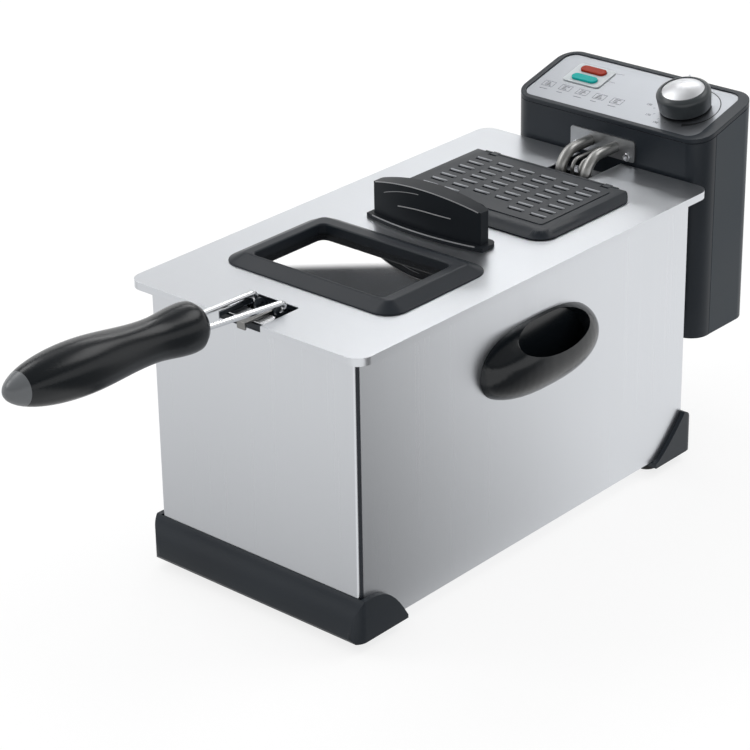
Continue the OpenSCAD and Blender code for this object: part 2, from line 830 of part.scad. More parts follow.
shaft_z0 = -14;
shaft_top = 11;
knob_floor = bush_top + 0.8;
knob_r = knob_d / 2;
cap_r = 15.4;
cap_t = 2.4;
module knob_shaft() {
  color(bright) placed() on_slope() translate([knob_x, knob_v, shaft_z0])
    cylinder(r = shaft_d / 2, h = shaft_top - shaft_z0);
}

module knob() {
  color(dark_grey) placed() on_slope() translate([knob_x, knob_v, 0]) difference() {
    rotate_extrude($fn = 72) polygon([
      [0, knob_floor], [bush_r + 1, knob_floor], [bush_r + 1, 0.4], [knob_r - 1.6, 0.4],
      [knob_r - 1, 1.5], [knob_r, knob_h - 5], [knob_r - 0.6, knob_h - 2.6],
      [cap_r + 0.9, knob_h - 0.4], [cap_r + 0.1, knob_h - 0.4], [cap_r + 0.1, knob_h - cap_t],
      [0, knob_h - cap_t]]);
    translate([0, 0, -1]) cylinder(r = shaft_d / 2 + 0.02, h = shaft_top + 1.05);
  }
}

// Domed metal cap: a slice of a sphere
module knob_cap() {
  dome_r = sagitta_r(2 * cap_r, 3);
  color(bright) placed() on_slope() translate([knob_x, knob_v, 0]) intersection() {
    translate([0, 0, knob_h - cap_t + 0.02]) cylinder(r = cap_r, h = 8, $fn = 72);
    translate([0, 0, knob_h + 2 - dome_r]) sphere(r = dome_r, $fn = 96);
  }
}

module terminal_block() {
  color([0.9, 0.9, 0.85]) placed() difference() {
    block(box_x - 20, box_y + 24, box_z + box_wall + 0.1, box_x + 24, box_y + 42, box_z + box_wall + 16);
    for (i = [0:3])
      translate([box_x - 13 + i * 10, box_y + 33, box_z + box_wall + 6]) cylinder(r = 2.5, h = 20);
  }
}

// Cut-out behind the reset button
cutout_y = box_y1 - box_wall - 0.1;
reset_travel = 1.5;
reset_out = 2.5;
module thermal_cutout() {
  color([0.15, 0.12, 0.1]) placed() difference() {
    block(reset_x - 9, cutout_y - 20, reset_z - 14, reset_x + 9, cutout_y, reset_z + 14);
    translate([reset_x, cutout_y - 10, reset_z]) rotate([-90, 0, 0])
      cylinder(r = reset_r + run_gap, h = 30);
  }
}

module reset_button() {
  color("firebrick") placed() translate([reset_x, cutout_y - 10 + reset_travel + 0.4, reset_z])
    rotate([-90, 0, 0]) union() {
      cylinder(r = reset_r, h = 10 + box_wall - reset_travel - 0.3 + reset_out - 1);
      translate([0, 0, 10 + box_wall - reset_travel - 0.3 + reset_out - 1])
        cylinder(r1 = reset_r, r2 = reset_r - 0.8, h = 1);
    }
}

cord_r = 3.6;
module cord_gland() {
  color(rubber) placed() translate([gland_x, box_y1 - box_wall - 3, gland_z]) rotate([-90, 0, 0])
    difference() {
      union() {
        cylinder(r = gland_r, h = box_wall + 4);
        translate([0, 0, box_wall + 3.02]) cylinder(r = gland_r + 2.5, h = 2);
        translate([0, 0, box_wall + 5]) cylinder(r1 = gland_r + 1, r2 = gland_r - 1, h = gland_out - 2);
        cylinder(r = gland_r + 2, h = 2.9);
      }
      translate([0, 0, -1]) cylinder(r = cord_r, h = 40);
    }
}

// ---------------------------------------------------------------- heating unit

flange_half = 28.5;
flange_lo = 214;
flange_hi = 230;
flange_plate_t = 1.5;
flange_screw_x = 22.5;
flange_screw_z = 217.5;
module element_flange() {
  color(bright) placed() difference() {
    translate([leg_x, 0, 0]) along_y(box_y - flange_plate_t, box_y)
      round_rect(-flange_half, flange_lo, flange_half, flange_hi, 2);
    for (s = [-1, 1]) translate([leg_x + s * leg_gap / 2, box_y - 5, root_z]) rotate([-90, 0, 0])
      cylinder(r = root_hole_r, h = 10);
    for (s = [-1, 1]) translate([leg_x + s * sensor_gap, box_y - 5, sensor_z]) rotate([-90, 0, 0])
      cylinder(r = sensor_r + 0.1, h = 10);
    for (s = [-1, 1]) translate([leg_x + s * flange_screw_x, box_y - 5, flange_screw_z]) rotate([-90, 0, 0])
      cylinder(r = screw_r + run_gap, h = 10);
  }
}

module flange_screws() {
  color(bright) placed() for (s = [-1, 1])
    translate([leg_x + s * flange_screw_x, box_y - flange_plate_t - screw_head_t, flange_screw_z])
      rotate([-90, 0, 0]) union() {
        cylinder(r = 3, h = screw_head_t);
        cylinder(r = screw_r, h = screw_l);
      }
}

// Hairpin heating tube: down the rear of the tank, then twice along its floor
tube_bend = 16;
loop_outer = 58;
loop_inner = 21;
loop_front = basket_y + 30;
loop_rear = leg_back - 2 * tube_bend - 2;
loop_turn = loop_rear - 26;
function half_loop(s) = [
  [leg_x + s * leg_gap / 2, box_y + 14, root_z],
  [leg_x + s * leg_gap / 2, leg_back, root_z],
  [leg_x + s * leg_gap / 2, leg_back, loop_z],
  [leg_x + s * leg_gap / 2, loop_rear, loop_z],
  [leg_x + s * loop_outer, loop_rear, loop_z],
  [leg_x + s * loop_outer, loop_front, loop_z],
  [leg_x + s * loop_inner, loop_front, loop_z],
  [leg_x + s * loop_inner, loop_turn, loop_z]];
function reversed(v) = [for (i = [len(v) - 1:-1:0]) v[i]];
module heating_element() {
  color([0.62, 0.62, 0.60]) placed()
    bent_tube(concat(half_loop(-1), reversed(half_loop(1))), tube_r, tube_bend);
}

// Thin sensor tubes between the legs, each ending in a bulb above the loop
bulb_back = 18;
stat_bulb_l = 60;
cutout_bulb_l = 42;
sensor_back = leg_back + 4;
module sensor(s, bulb_l) {
  x = leg_x + s * sensor_gap;
  union() {
    bent_tube([[x, box_y + 10, sensor_z], [x, sensor_back, sensor_z], [x, sensor_back, bulb_z],
               [x, sensor_back - bulb_back - 1, bulb_z]], sensor_r, 7);
    rod([x, sensor_back - bulb_back, bulb_z], [x, sensor_back - bulb_back - bulb_l, bulb_z], bulb_r);
  }
}
module thermostat_sensor() { color(bright) placed() sensor(-1, stat_bulb_l); }
module cutout_sensor() { color(bright) placed() sensor(1, cutout_bulb_l); }

// Strap that ties the sensors to the legs of the heating tube
clip_rise = 60;
clip_z = loop_z + clip_rise;
clip_h = 10;
module sensor_clip() {
  color(steel) placed() difference() {
    slab(leg_x - leg_gap / 2 - tube_r - clip_wall, leg_back - tube_r - clip_wall,
         leg_x + leg_gap / 2 + tube_r + clip_wall, leg_back + tube_r + clip_wall,
         tube_r + 2, clip_z, clip_z + clip_h);
    for (s = [-1, 1]) translate([leg_x + s * leg_gap / 2, leg_back, clip_z - 1])
      cylinder(r = tube_r + 0.1, h = clip_h + 2);
    for (s = [-1, 1]) translate([leg_x + s * sensor_gap, sensor_back, clip_z - 1])
      cylinder(r = sensor_r + 0.1, h = clip_h + 2);
  }
}

// ---------------------------------------------------------------- basket

mesh_pitch = mesh_hole * 1.3;
function centred(n, pitch) = [for (i = [0:n - 1]) (i - (n - 1) / 2) * pitch];
module basket_mesh() {
  cols_y = floor((basket_l - 2 * basket_r) / mesh_pitch);
  cols_x = floor((2 * basket_x - 2 * basket_r) / mesh_pitch);
  rows_z = floor((basket_h - 12) / mesh_pitch);
  mid = basket_y + basket_l / 2;
  color(bright) placed() difference() {
    slab(-basket_x, basket_y, basket_x, basket_y1, basket_r, basket_z, basket_top);
    slab(-basket_x + mesh_t, basket_y + mesh_t, basket_x - mesh_t, basket_y1 - mesh_t,
         basket_r - mesh_t, basket_z + mesh_t, basket_top + 1);
    for (y = centred(cols_y, mesh_pitch), z = centred(rows_z, mesh_pitch))
      translate([0, mid + y, basket_z + basket_h / 2 + z])
        cube([2 * basket_x + 4, mesh_hole, mesh_hole], center = true);
    for (x = centred(cols_x, mesh_pitch), z = centred(rows_z, mesh_pitch))
      translate([x, mid, basket_z + basket_h / 2 + z])
        cube([mesh_hole, basket_l + 4, mesh_hole], center = true);
    for (x = centred(cols_x, mesh_pitch), y = centred(cols_y, mesh_pitch))
      translate([x, mid + y, basket_z]) cube([mesh_hole, mesh_hole, 8], center = true);
  }
}

frame_r = frame_wire_d / 2;
rim_out = frame_r + 0.1;
frame_z = basket_top - frame_r;
stay_in = 55;
stay_bend = 3;
stay_rows = [basket_y + stay_in, basket_y1 - stay_in];
module basket_frame() {
  x = basket_x + rim_out;
  y0 = basket_y - rim_out;
  y1 = basket_y1 + rim_out;
  low = basket_z - rim_out;
  color(bright) placed() union() {
    bent_tube([[-x, y0, frame_z], [x, y0, frame_z], [x, y1, frame_z], [-x, y1, frame_z]],
              frame_r, basket_r + rim_out, closed = true);
    for (y = stay_rows)
      bent_tube([[-x, y, frame_z], [-x, y, low], [x, y, low], [x, y, frame_z]], frame_r - 0.5, stay_bend);
  }
}

// Cheeks that carry the hinge pins of the handle, on a plate behind them
bracket_h = 38;
bracket_z0 = basket_top - bracket_h;
bracket_z1 = flange_z - 0.6;
cheek_r = 4;
module basket_bracket() {
  color(dark_grey) placed() difference() {
    union() {
      block(-ear_out, bracket_y, bracket_z0, ear_out, bracket_y + bracket_t, bracket_z1);
      for (s = [-1, 1])
       along_x(s > 0 ? ear_out - ear_t : -ear_out, s > 0 ? ear_out : -ear_out + ear_t) union() {
        translate([hinge_y, hinge_z]) circle(cheek_r);
        polygon([[hinge_y - 1, hinge_z - cheek_r + 0.13], [bracket_y + eps, basket_top - 10],
                 [bracket_y + eps, bracket_z1],
                 [hinge_y + cheek_r * 0.8, hinge_z + cheek_r * 0.6]]);
      }
    }
    translate([-ear_out - 1, hinge_y, hinge_z]) rotate([0, 90, 0])
      cylinder(r = wire_r + run_gap, h = 2 * ear_out + 2);
  }
}

// Strap that hooks the basket over the tank rim
hook_t = 2;
hook_back = tank_y0 + tank_wall + 1;
hook_front = -lid_front_over + 1;
hook_lip = 2.5;
hook_z = flange_z + flange_t + seat_gap;
module basket_hook() {
  color(steel) placed() along_x(-hook_w / 2, hook_w / 2) union() {
    translate([hook_back, basket_top - 8]) square([bracket_y - hook_back - 0.1, hook_t]);
    translate([hook_back, basket_top - 8]) square([hook_t, hook_z + hook_t - basket_top + 8]);
    translate([hook_front, hook_z]) square([hook_back - hook_front + eps, hook_t]);
    translate([hook_front, hook_z - hook_lip]) square([hook_t, hook_lip + eps]);
    translate([hook_front + hook_t / 2, hook_z - hook_lip]) circle(hook_t / 2, $fn = 24);
  }
}

// ---------------------------------------------------------------- basket handle

// Frame of the handle: origin on the hinge axis, -Y running out along the grip, +Z up the legs
module handle_frame() { translate([0, hinge_y, hinge_z]) rotate([-handle_tilt, 0, 0]) children(); }

wire_end = grip_start + wire_in_grip;
wire_bend = 2.9;
pin_in = ear_out - ear_t - 1;
function wire_at(s, d) = [s * (wire_gap / 2 - d * sin(wire_lean)), -d * cos(wire_lean), hinge_leg];
module handle_wires() {
  color(bright) placed() handle_frame() for (s = [-1, 1])
    bent_tube([[s * pin_in, 0, 0], [s * wire_gap / 2, 0, 0], wire_at(s, 0), wire_at(s, wire_end)],
              wire_r, wire_bend);
}

// Radius of the grip along its length: rounded flare, waist, belly and an elliptic tail
flare_s = 8;
waist_s = 40;
belly_s = 98;
cap_s = handle_grip_l - 12;
function ease(a, b, t) = a + (b - a) * (1 - cos(180 * t)) / 2;
function grip_r(s) =
  s <= flare_s ? flare_r - 3 + 3 * sqrt(max(0, 1 - pow(1 - s / flare_s, 2)))
  : s <= waist_s ? ease(flare_r, waist_r, (s - flare_s) / (waist_s - flare_s))
  : s <= belly_s ? ease(waist_r, belly_r, (s - waist_s) / (belly_s - waist_s))
  : belly_r * sqrt(max(0, 1 - pow((s - belly_s) / (handle_grip_l - belly_s), 2)));
grip_step = 4;

// Frame of the grip: Z runs out along its axis from the flared end
module grip_frame() {
  placed() handle_frame() translate([0, -grip_start, hinge_leg]) rotate([90, 0, 0]) children();
}

module handle_grip() {
  color(black) difference() {
    grip_frame() rotate_extrude($fn = 64) polygon(concat(
      [[0, 0]], [for (s = [0:grip_step:cap_s - 0.5]) [grip_r(s), s]], [[grip_r(cap_s), cap_s], [0, cap_s]]));
    placed() handle_frame() for (s = [-1, 1])
      rod(wire_at(s, grip_start - 5), wire_at(s, wire_end + 0.5), wire_r + 0.03);
  }
}

module grip_end_cap() {
  cap_l = handle_grip_l - cap_s - 0.02;
  color([0.5, 0.5, 0.52]) grip_frame() translate([0, 0, handle_grip_l - cap_l]) rotate_extrude($fn = 64)
    polygon(concat([[0, 0]], [for (i = [0:6]) let (s = cap_l * (1 - pow(1 - i / 6, 2)))
      [grip_r(handle_grip_l - cap_l + s), s]]));
}

// ---------------------------------------------------------------- lid

lid_x = half_w + lid_side_over;
lid_y0 = -lid_front_over;
lid_y1 = body_l + lid_rear_over;
notch_r = 1.5;

module notches(z0, z1, grow = 0) {
  slab(-notch_w / 2 - grow, lid_y0 - 20, notch_w / 2 + grow, front_notch_y + grow, notch_r, z0, z1);
  slab(leg_x - notch_w / 2 - grow, body_l - rear_notch_y - grow, leg_x + notch_w / 2 + grow, lid_y1 + 20,
       notch_r, z0, z1);
}

// Opening over which the glass lies, grown by grow
module window_hole(z0, z1, grow, r) {
  slab(-win_w / 2 + win_side - grow, win_y + win_front - grow, win_w / 2 - win_side + grow,
       win_y + win_l - win_back + grow, r, z0, z1);
}
skirt_t = 3.5;
cover_w = win_w - 5;
cover_l = body_l - cover_rear_gap - cover_y;
mat_inset = 11;
liner_ledge = 6;
module lid_sheet() {
  color(steel) placed() difference() {
    slab(-lid_x, lid_y0, lid_x, lid_y1, lid_r, rim_z, lid_top);
    slab(-lid_x + lid_t, lid_y0 + lid_t, lid_x - lid_t, lid_y1 - lid_t, lid_r - lid_t, rim_z - 1, sheet_z);
    notches(rim_z - 2, lid_top + 1);
    window_hole(rim_z, lid_top + 1, skirt_t + 0.2, 8);
    slab(-cover_w / 2 + mat_inset, cover_y + mat_inset, cover_w / 2 - mat_inset, cover_y + cover_l - mat_inset,
         4, rim_z, lid_top + 1);
    for (x = pull_screw_x()) translate([x, pull_y, rim_z]) cylinder(r = screw_r + run_gap, h = big);
  }
}

module lid_liner() {
  color(black) placed() difference() {
    slab(-lid_x + lid_t + 0.3, lid_y0 + lid_t + 0.3, lid_x - lid_t - 0.3, lid_y1 - lid_t - 0.3,
         lid_r - lid_t, liner_z, sheet_z);
    notches(liner_z - 1, sheet_z + 1, 1);
    window_hole(liner_z - 1, sheet_z + 1, skirt_t + 0.3, 8);
    slab(-cover_w / 2 + mat_inset + liner_ledge, cover_y + mat_inset + liner_ledge,
         cover_w / 2 - mat_inset - liner_ledge, cover_y + cover_l - mat_inset - liner_ledge,
         4, liner_z - 1, sheet_z + 1);
    for (x = pull_screw_x())
      translate([x, pull_y, liner_z - 1]) cylinder(r = screw_head_r + 0.3, h = liner_t + 2);
  }
}

// The frame's skirt goes down through the lid and holds the glass in a groove
glass_edge = 2;
glass_z = lid_top - 0.2 - glass_t;
skirt_z = glass_z - 1;
win_corner = 15;
win_bevel = 10.5;
glass_gap = 0.05;
module window_frame() {
  color(black) placed() difference() {
    union() {
      bevel_slab(win_w, win_y, win_l, win_corner, lid_top, frame_h, win_bevel);
      window_hole(skirt_z, lid_top + eps, skirt_t, 7.5);
    }
    window_hole(skirt_z - 1, lid_top + frame_h + 1, 0, 5);
    window_hole(glass_z, glass_z + glass_t, glass_edge, 6);
  }
}

module window_glass() {
  color([0.2, 0.25, 0.28, 0.6]) placed()
    window_hole(glass_z + glass_gap, glass_z + glass_t - glass_gap, glass_edge - 2 * glass_gap, 6);
}

// Upright plate with an arched top and a bulging front, on a foot of the same outline
pull_foot_h = 3;
pull_foot = 4;
pull_corner = 2;
pull_bore = 11;
function pull_screw_x() = [-pull_l / 4, pull_l / 4];
module pull_outline(grow, z0, z1) {
  front_r = sagitta_r(pull_l, pull_bulge) + grow;
  front_y = pull_y - pull_t / 2 - pull_bulge;
  intersection() {
    slab(-pull_l / 2 - grow, front_y - grow, pull_l / 2 + grow, pull_y + pull_t / 2 + grow,
         pull_corner + grow, z0, z1);
    translate([0, front_y - grow + front_r, z0]) cylinder(r = front_r, h = z1 - z0, $fn = 240);
  }
}
module lid_pull() {
  arch_r = sagitta_r(pull_l, pull_mid_h - pull_end_h);
  color(black) placed() difference() {
    union() {
      intersection() {
        pull_outline(0, lid_top, lid_top + pull_mid_h + 1);
        translate([0, pull_y + 2 * pull_t, lid_top + pull_mid_h - arch_r]) rotate([90, 0, 0])
          cylinder(r = arch_r, h = 4 * pull_t, $fn = 180);
      }
      pull_outline(pull_foot, lid_top, lid_top + pull_foot_h);
    }
    for (x = pull_screw_x()) translate([x, pull_y, lid_top - 1]) cylinder(r = screw_r + 0.02, h = pull_bore);
  }
}

module lid_pull_screws() {
  color(bright) placed() for (x = pull_screw_x()) translate([x, pull_y, sheet_z - screw_head_t]) union() {
    cylinder(r = screw_head_r, h = screw_head_t);
    cylinder(r = screw_r, h = screw_head_t + lid_t + screw_l);
  }
}

module filter_mat() {
  color([0.6, 0.6, 0.6]) placed()
    slab(-cover_w / 2 + mat_inset + 0.2, cover_y + mat_inset + 0.2, cover_w / 2 - mat_inset - 0.2,
         cover_y + cover_l - mat_inset - 0.2, 4, sheet_z, lid_top + 0.1);
}

// Filter cover on its hinge at the rear edge
barrel_r = (frame_h - seat_gap) / 2;
hinge_pin_y = cover_y + cover_l - barrel_r;
hinge_pin_z = lid_top + seat_gap + barrel_r;
ear_x = 50;
ear_w = 6;
cover_ear_gap = 0.5;
ear_len = 5.4;
module hinge_ears() {
  color(black) placed() both_sides() difference() {
    block(ear_x - ear_w / 2, hinge_pin_y - ear_len / 2, lid_top,
          ear_x + ear_w / 2, hinge_pin_y + ear_len / 2,
          lid_top + frame_h - 0.4);
    translate([ear_x - ear_w, hinge_pin_y, hinge_pin_z]) rotate([0, 90, 0])
      cylinder(r = pin_d / 2 + 0.02, h = 2 * ear_w);
  }
}

pin_reach = 7;
module hinge_pins() {
  color(bright) placed() both_sides() translate([ear_x - pin_reach, hinge_pin_y, hinge_pin_z]) rotate([0, 90, 0])
    cylinder(r = pin_d / 2, h = 2 * pin_reach);
}

slot_field_w = cover_w - 30;
slot_field_l = cover_l - 34;
cover_bevel = 6.5;
cover_corner = 14;
panel_in = 13;
panel_t = 0.5;
scoop_r = 19;
module filter_cover() {
  h = 2 * barrel_r - panel_t;
  col_pitch = slot_field_w / slot_cols;
  row_pitch = slot_field_l / slot_rows;
  ear_room = 4.6;
  color(black) placed() difference() {
    union() {
      intersection() {
        bevel_slab(cover_w, cover_y, cover_l + 2 * cover_corner, cover_corner, lid_top + seat_gap, h,
                   cover_bevel);
        slab(-cover_w / 2, cover_y, cover_w / 2, cover_y + cover_l, cover_corner, 0, big);
        block(-big, 0, 0, big, hinge_pin_y, big);
      }
      // raised panel with a finger scoop in front
      difference() {
        slab(-cover_w / 2 + panel_in, cover_y + panel_in + 2, cover_w / 2 - panel_in, hinge_pin_y - 8, 3,
             lid_top + seat_gap + h - eps, lid_top + frame_h);
        translate([0, cover_y, lid_top]) cylinder(r = scoop_r, h = 2 * frame_h);
      }
      translate([cover_corner - cover_w / 2, hinge_pin_y, hinge_pin_z]) rotate([0, 90, 0])
        cylinder(r = barrel_r, h = cover_w - 2 * cover_corner);
    }
    // hollow underside
    slab(-cover_w / 2 + 8, cover_y + 8, cover_w / 2 - 8, cover_y + cover_l - 14, 6,
         lid_top, lid_top + frame_h - 2.6);
    // vent slots, left out over the scoop
    translate([0, cover_y + cover_l / 2 + 3, lid_top - 1]) linear_extrude(frame_h + 2)
      for (x = centred(slot_cols, col_pitch), y = centred(slot_rows, row_pitch))
        if (y > -row_pitch * (slot_rows / 2 - 1) || abs(x) > col_pitch)
          translate([x, y]) square([slot_l, slot_w], center = true);
    // room for the ears and bores for the pins
    for (s = [-1, 1]) {
      block(s * ear_x - ear_w / 2 - cover_ear_gap, hinge_pin_y - ear_room, lid_top,
            s * ear_x + ear_w / 2 + cover_ear_gap, hinge_pin_y + 10, lid_top + frame_h + 1);
      translate([s * ear_x - pin_reach - 1, hinge_pin_y, hinge_pin_z]) rotate([0, 90, 0])
        cylinder(r = pin_d / 2 + run_gap, h = 2 * pin_reach + 2);
    }
  }
}

// ---------------------------------------------------------------- assembly

front_panel();
side_panel_left();
side_panel_right();
rear_panel();
base_plate();
corner_strip_left();
corner_strip_right();
top_frame();
front_trim();
rear_shoe_left();
rear_shoe_right();
foot_front_left();
foot_front_right();
foot_rear_left();
foot_rear_right();
side_handle_left();
side_handle_right();
side_handle_screws();
rear_guide();
oil_tank();
front_shell();
rear_cover();
top_bezel();
panel_plate();
cover_screws();
lamp_frame();
lamp_lens_red();
lamp_lens_green();
lamp_holder();
thermostat();
terminal_block();
thermal_cutout();
cord_gland();
element_flange();
flange_screws();
heating_element();
thermostat_sensor();
cutout_sensor();
sensor_clip();
knob();
knob_cap();
knob_shaft();
reset_button();
basket_mesh();
basket_frame();
basket_bracket();
basket_hook();
handle_wires();
handle_grip();
grip_end_cap();
lid_sheet();
lid_liner();
window_frame();
window_glass();
lid_pull();
lid_pull_screws();
filter_mat();
hinge_ears();
hinge_pins();
filter_cover();
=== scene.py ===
"""Dresses the frame of a countertop deep fryer: steel sheet, moulded plastic, wire and glass."""

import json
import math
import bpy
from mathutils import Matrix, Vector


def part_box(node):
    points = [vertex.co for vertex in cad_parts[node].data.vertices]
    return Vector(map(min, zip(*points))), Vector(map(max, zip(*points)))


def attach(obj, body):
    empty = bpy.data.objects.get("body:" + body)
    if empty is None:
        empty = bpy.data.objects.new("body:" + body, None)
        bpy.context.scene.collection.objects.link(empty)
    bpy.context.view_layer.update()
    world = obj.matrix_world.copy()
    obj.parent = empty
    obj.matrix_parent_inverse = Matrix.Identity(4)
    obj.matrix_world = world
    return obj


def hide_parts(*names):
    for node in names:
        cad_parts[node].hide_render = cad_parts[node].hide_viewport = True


bl_info = {
    "name": "Deep fryer",
    "version": (1, 0, 0),
    "blender": (4, 5, 0),
    "location": "View3D > Sidebar > Fryer",
    "description": "Builds the finished pieces of a countertop deep fryer around its solid frame",
    "category": "Object",
}

import bmesh
import bpy
from bpy.props import FloatProperty, FloatVectorProperty, IntProperty, PointerProperty
from mathutils import Matrix, Vector

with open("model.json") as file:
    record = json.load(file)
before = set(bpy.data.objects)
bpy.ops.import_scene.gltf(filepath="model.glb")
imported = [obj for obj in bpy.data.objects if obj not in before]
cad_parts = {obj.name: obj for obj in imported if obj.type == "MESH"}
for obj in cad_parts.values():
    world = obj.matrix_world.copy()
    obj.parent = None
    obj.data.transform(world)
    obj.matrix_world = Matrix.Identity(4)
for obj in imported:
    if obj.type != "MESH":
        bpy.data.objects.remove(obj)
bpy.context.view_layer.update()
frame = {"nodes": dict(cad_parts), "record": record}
MM = 0.001
MID_Y = -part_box("front_panel")[0][1] / MM  # from the front panel to the middle of the whole
BODY_OF = {n: b for b, nodes in frame["record"]["behaviour"]["bodies"].items() for n in nodes}
SLOT_OF = {s["node"]: s["material_slot"] for s in frame["record"]["subparts"]}


def at(x, y, z):
    """A point given in millimetres from the front panel, in the common frame."""
    return Vector((x * MM, (y - MID_Y) * MM, z * MM))


def span(node):
    """Lowest and highest corner of a node in millimetres from the front panel."""
    return [Vector((c[0] / MM, c[1] / MM + MID_Y, c[2] / MM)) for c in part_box(node)]


SLOPE = math.radians(14.2)
ON_SLOPE = Matrix.Translation(at(0, 364, 242)) @ Matrix.Rotation(SLOPE, 4, "X")
PLATE_Z = -0.8  # the control plate's face, in millimetres below the sloped edge
KNOB_AT = (51, 35.5)


# ------------------------------------------------------------------ settings


def colour_setting(name, description, default):
    return FloatVectorProperty(
        name=name, description=description, subtype="COLOR", size=3, default=default, min=0, max=1)


def distance_setting(name, description, default, low, high):
    return FloatProperty(
        name=name, description=description, subtype="DISTANCE", default=default, min=low, max=high)


class FryerFinish(bpy.types.PropertyGroup):
    steel: colour_setting("Steel", "Colour of the satin steel sheet", (0.68, 0.70, 0.73))
    bright: colour_setting("Bright steel", "Colour of the wires, screws and tank", (0.70, 0.71, 0.73))
    tube: colour_setting("Heating tube", "Colour of the heating tube", (0.40, 0.40, 0.39))
    black: colour_setting("Black plastic", "Colour of the moulded housing parts", (0.024, 0.030, 0.038))
    grey: colour_setting("Grey plastic", "Colour of the control box's rear cover", (0.022, 0.033, 0.044))
    gloss: colour_setting("Gloss plastic", "Colour of the handles and the knob", (0.0070, 0.0095, 0.0120))
    cover: colour_setting("Cover plastic", "Colour of window frame and filter cover", (0.017, 0.0215, 0.028))
    knob: colour_setting("Knob", "Colour of the knob's side", (0.042, 0.050, 0.055))
    # The lips' pale grey is a painted highlight: the lips are raised bars of the black cover, coloured light
    # to stand for the light along the slots' edges.
    lip: colour_setting("Louvre lips", "Colour of the lips behind the cover's slots", (0.46, 0.48, 0.51))
    cap: colour_setting("End cap", "Colour of the cap on the grip's end", (0.16, 0.17, 0.18))
    red: colour_setting("Red lens", "Colour of the power lamp", (0.36, 0.040, 0.022))
    green: colour_setting("Green lens", "Colour of the ready lamp", (0.02, 0.42, 0.40))


class FryerSizes(bpy.types.PropertyGroup):
    edge: distance_setting("Moulded edge", "Rounding of the plastic parts' edges", 0.0008, 0.0001, 0.003)
    weave: distance_setting("Basket weave", "Distance between the wires of the basket", 0.006, 0.004, 0.012)
    weave_wire: distance_setting("Basket wire", "Thickness of the basket's wires", 0.0010, 0.0005, 0.002)
    louvre: distance_setting("Louvre lip", "Half the height of the slots' lips", 0.0008, 0.0003, 0.0012)
    louvre_columns: IntProperty(
        name="Louvre columns", description="Slots across the filter cover", default=6, min=4, max=6)
    louvre_rows: IntProperty(
        name="Louvre rows", description="Slots along the filter cover", default=7, min=5, max=7)
    turns: IntProperty(
        name="Turned facets", description="Facets round the knob and its cap", default=96, min=24, max=128)


# ------------------------------------------------------------------ node helpers


def calculator(nodes, links):
    """Two functions that add a Math node and a Map Range node to a tree and return what they give."""

    def maths(operation, *values):
        node = nodes.new("ShaderNodeMath")
        node.operation = operation
        for socket, value in zip(node.inputs, values):
            if isinstance(value, (int, float)):
                socket.default_value = value
            else:
                links.new(value, socket)
        return node.outputs[0]

    def between(source, low, high, first, last, soft=False):
        """Runs from first to last while source runs from low to high."""
        node = nodes.new("ShaderNodeMapRange")
        if soft:
            node.interpolation_type = "SMOOTHSTEP"
        for label, value in (("From Min", low), ("From Max", high), ("To Min", first), ("To Max", last)):
            node.inputs[label].default_value = value
        links.new(source, node.inputs["Value"])
        return node.outputs["Result"]

    return maths, between


# ------------------------------------------------------------------ materials


def node_group(name, inputs, outputs):
    group = bpy.data.node_groups.new(name, "ShaderNodeTree")
    for label, kind, default in inputs:
        socket = group.interface.new_socket(label, in_out="INPUT", socket_type=kind)
        socket.default_value = default
    for label, kind in outputs:
        group.interface.new_socket(label, in_out="OUTPUT", socket_type=kind)
    return group, group.nodes.new("NodeGroupInput"), group.nodes.new("NodeGroupOutput")


def make_grain_group():
    """Fine drawn lines: noise stretched along one direction, and slow clouds of tone."""
    group, inp, out = node_group(
        "Drawn grain",
        [("Stretch", "NodeSocketVector", (1, 1, 1)), ("Cloud", "NodeSocketFloat", 6.0)],
        [("Lines", "NodeSocketFloat"), ("Clouds", "NodeSocketFloat")])
    n, link = group.nodes, group.links
    coords = n.new("ShaderNodeTexCoord")
    mapping = n.new("ShaderNodeMapping")
    lines = n.new("ShaderNodeTexNoise")
    lines.inputs["Scale"].default_value = 1
    lines.inputs["Detail"].default_value = 4
    clouds = n.new("ShaderNodeTexNoise")
    clouds.inputs["Detail"].default_value = 2
    link.new(coords.outputs["Object"], mapping.inputs["Vector"])
    link.new(inp.outputs["Stretch"], mapping.inputs["Scale"])
    link.new(mapping.outputs["Vector"], lines.inputs["Vector"])
    link.new(coords.outputs["Object"], clouds.inputs["Vector"])
    link.new(inp.outputs["Cloud"], clouds.inputs["Scale"])
    link.new(lines.outputs["Fac"], out.inputs["Lines"])
    link.new(clouds.outputs["Fac"], out.inputs["Clouds"])
    return group


def make_moulded_group():
    """Moulded surface: a fine spark-eroded texture and slow unevenness."""
    group, inp, out = node_group(
        "Moulded grain",
        [("Fineness", "NodeSocketFloat", 1800.0), ("Cloud", "NodeSocketFloat", 14.0)],
        [("Height", "NodeSocketFloat"), ("Clouds", "NodeSocketFloat")])
    n, link = group.nodes, group.links
    coords = n.new("ShaderNodeTexCoord")
    fine = n.new("ShaderNodeTexNoise")
    fine.inputs["Detail"].default_value = 2
    clouds = n.new("ShaderNodeTexNoise")
    clouds.inputs["Detail"].default_value = 2
    for tex, scale in ((fine, "Fineness"), (clouds, "Cloud")):
        link.new(coords.outputs["Object"], tex.inputs["Vector"])
        link.new(inp.outputs[scale], tex.inputs["Scale"])
    link.new(fine.outputs["Fac"], out.inputs["Height"])
    link.new(clouds.outputs["Fac"], out.inputs["Clouds"])
    return group


def plain_material(name, colour, roughness, metallic=0.0):
    mat = bpy.data.materials.new(name)
    mat.use_nodes = True
    shader = mat.node_tree.nodes["Principled BSDF"]
    shader.inputs["Base Color"].default_value = (*colour, 1)
    shader.inputs["Roughness"].default_value = roughness
    shader.inputs["Metallic"].default_value = metallic
    mat.diffuse_color = (*colour, 1)
    return mat, mat.node_tree.nodes, mat.node_tree.links, shader


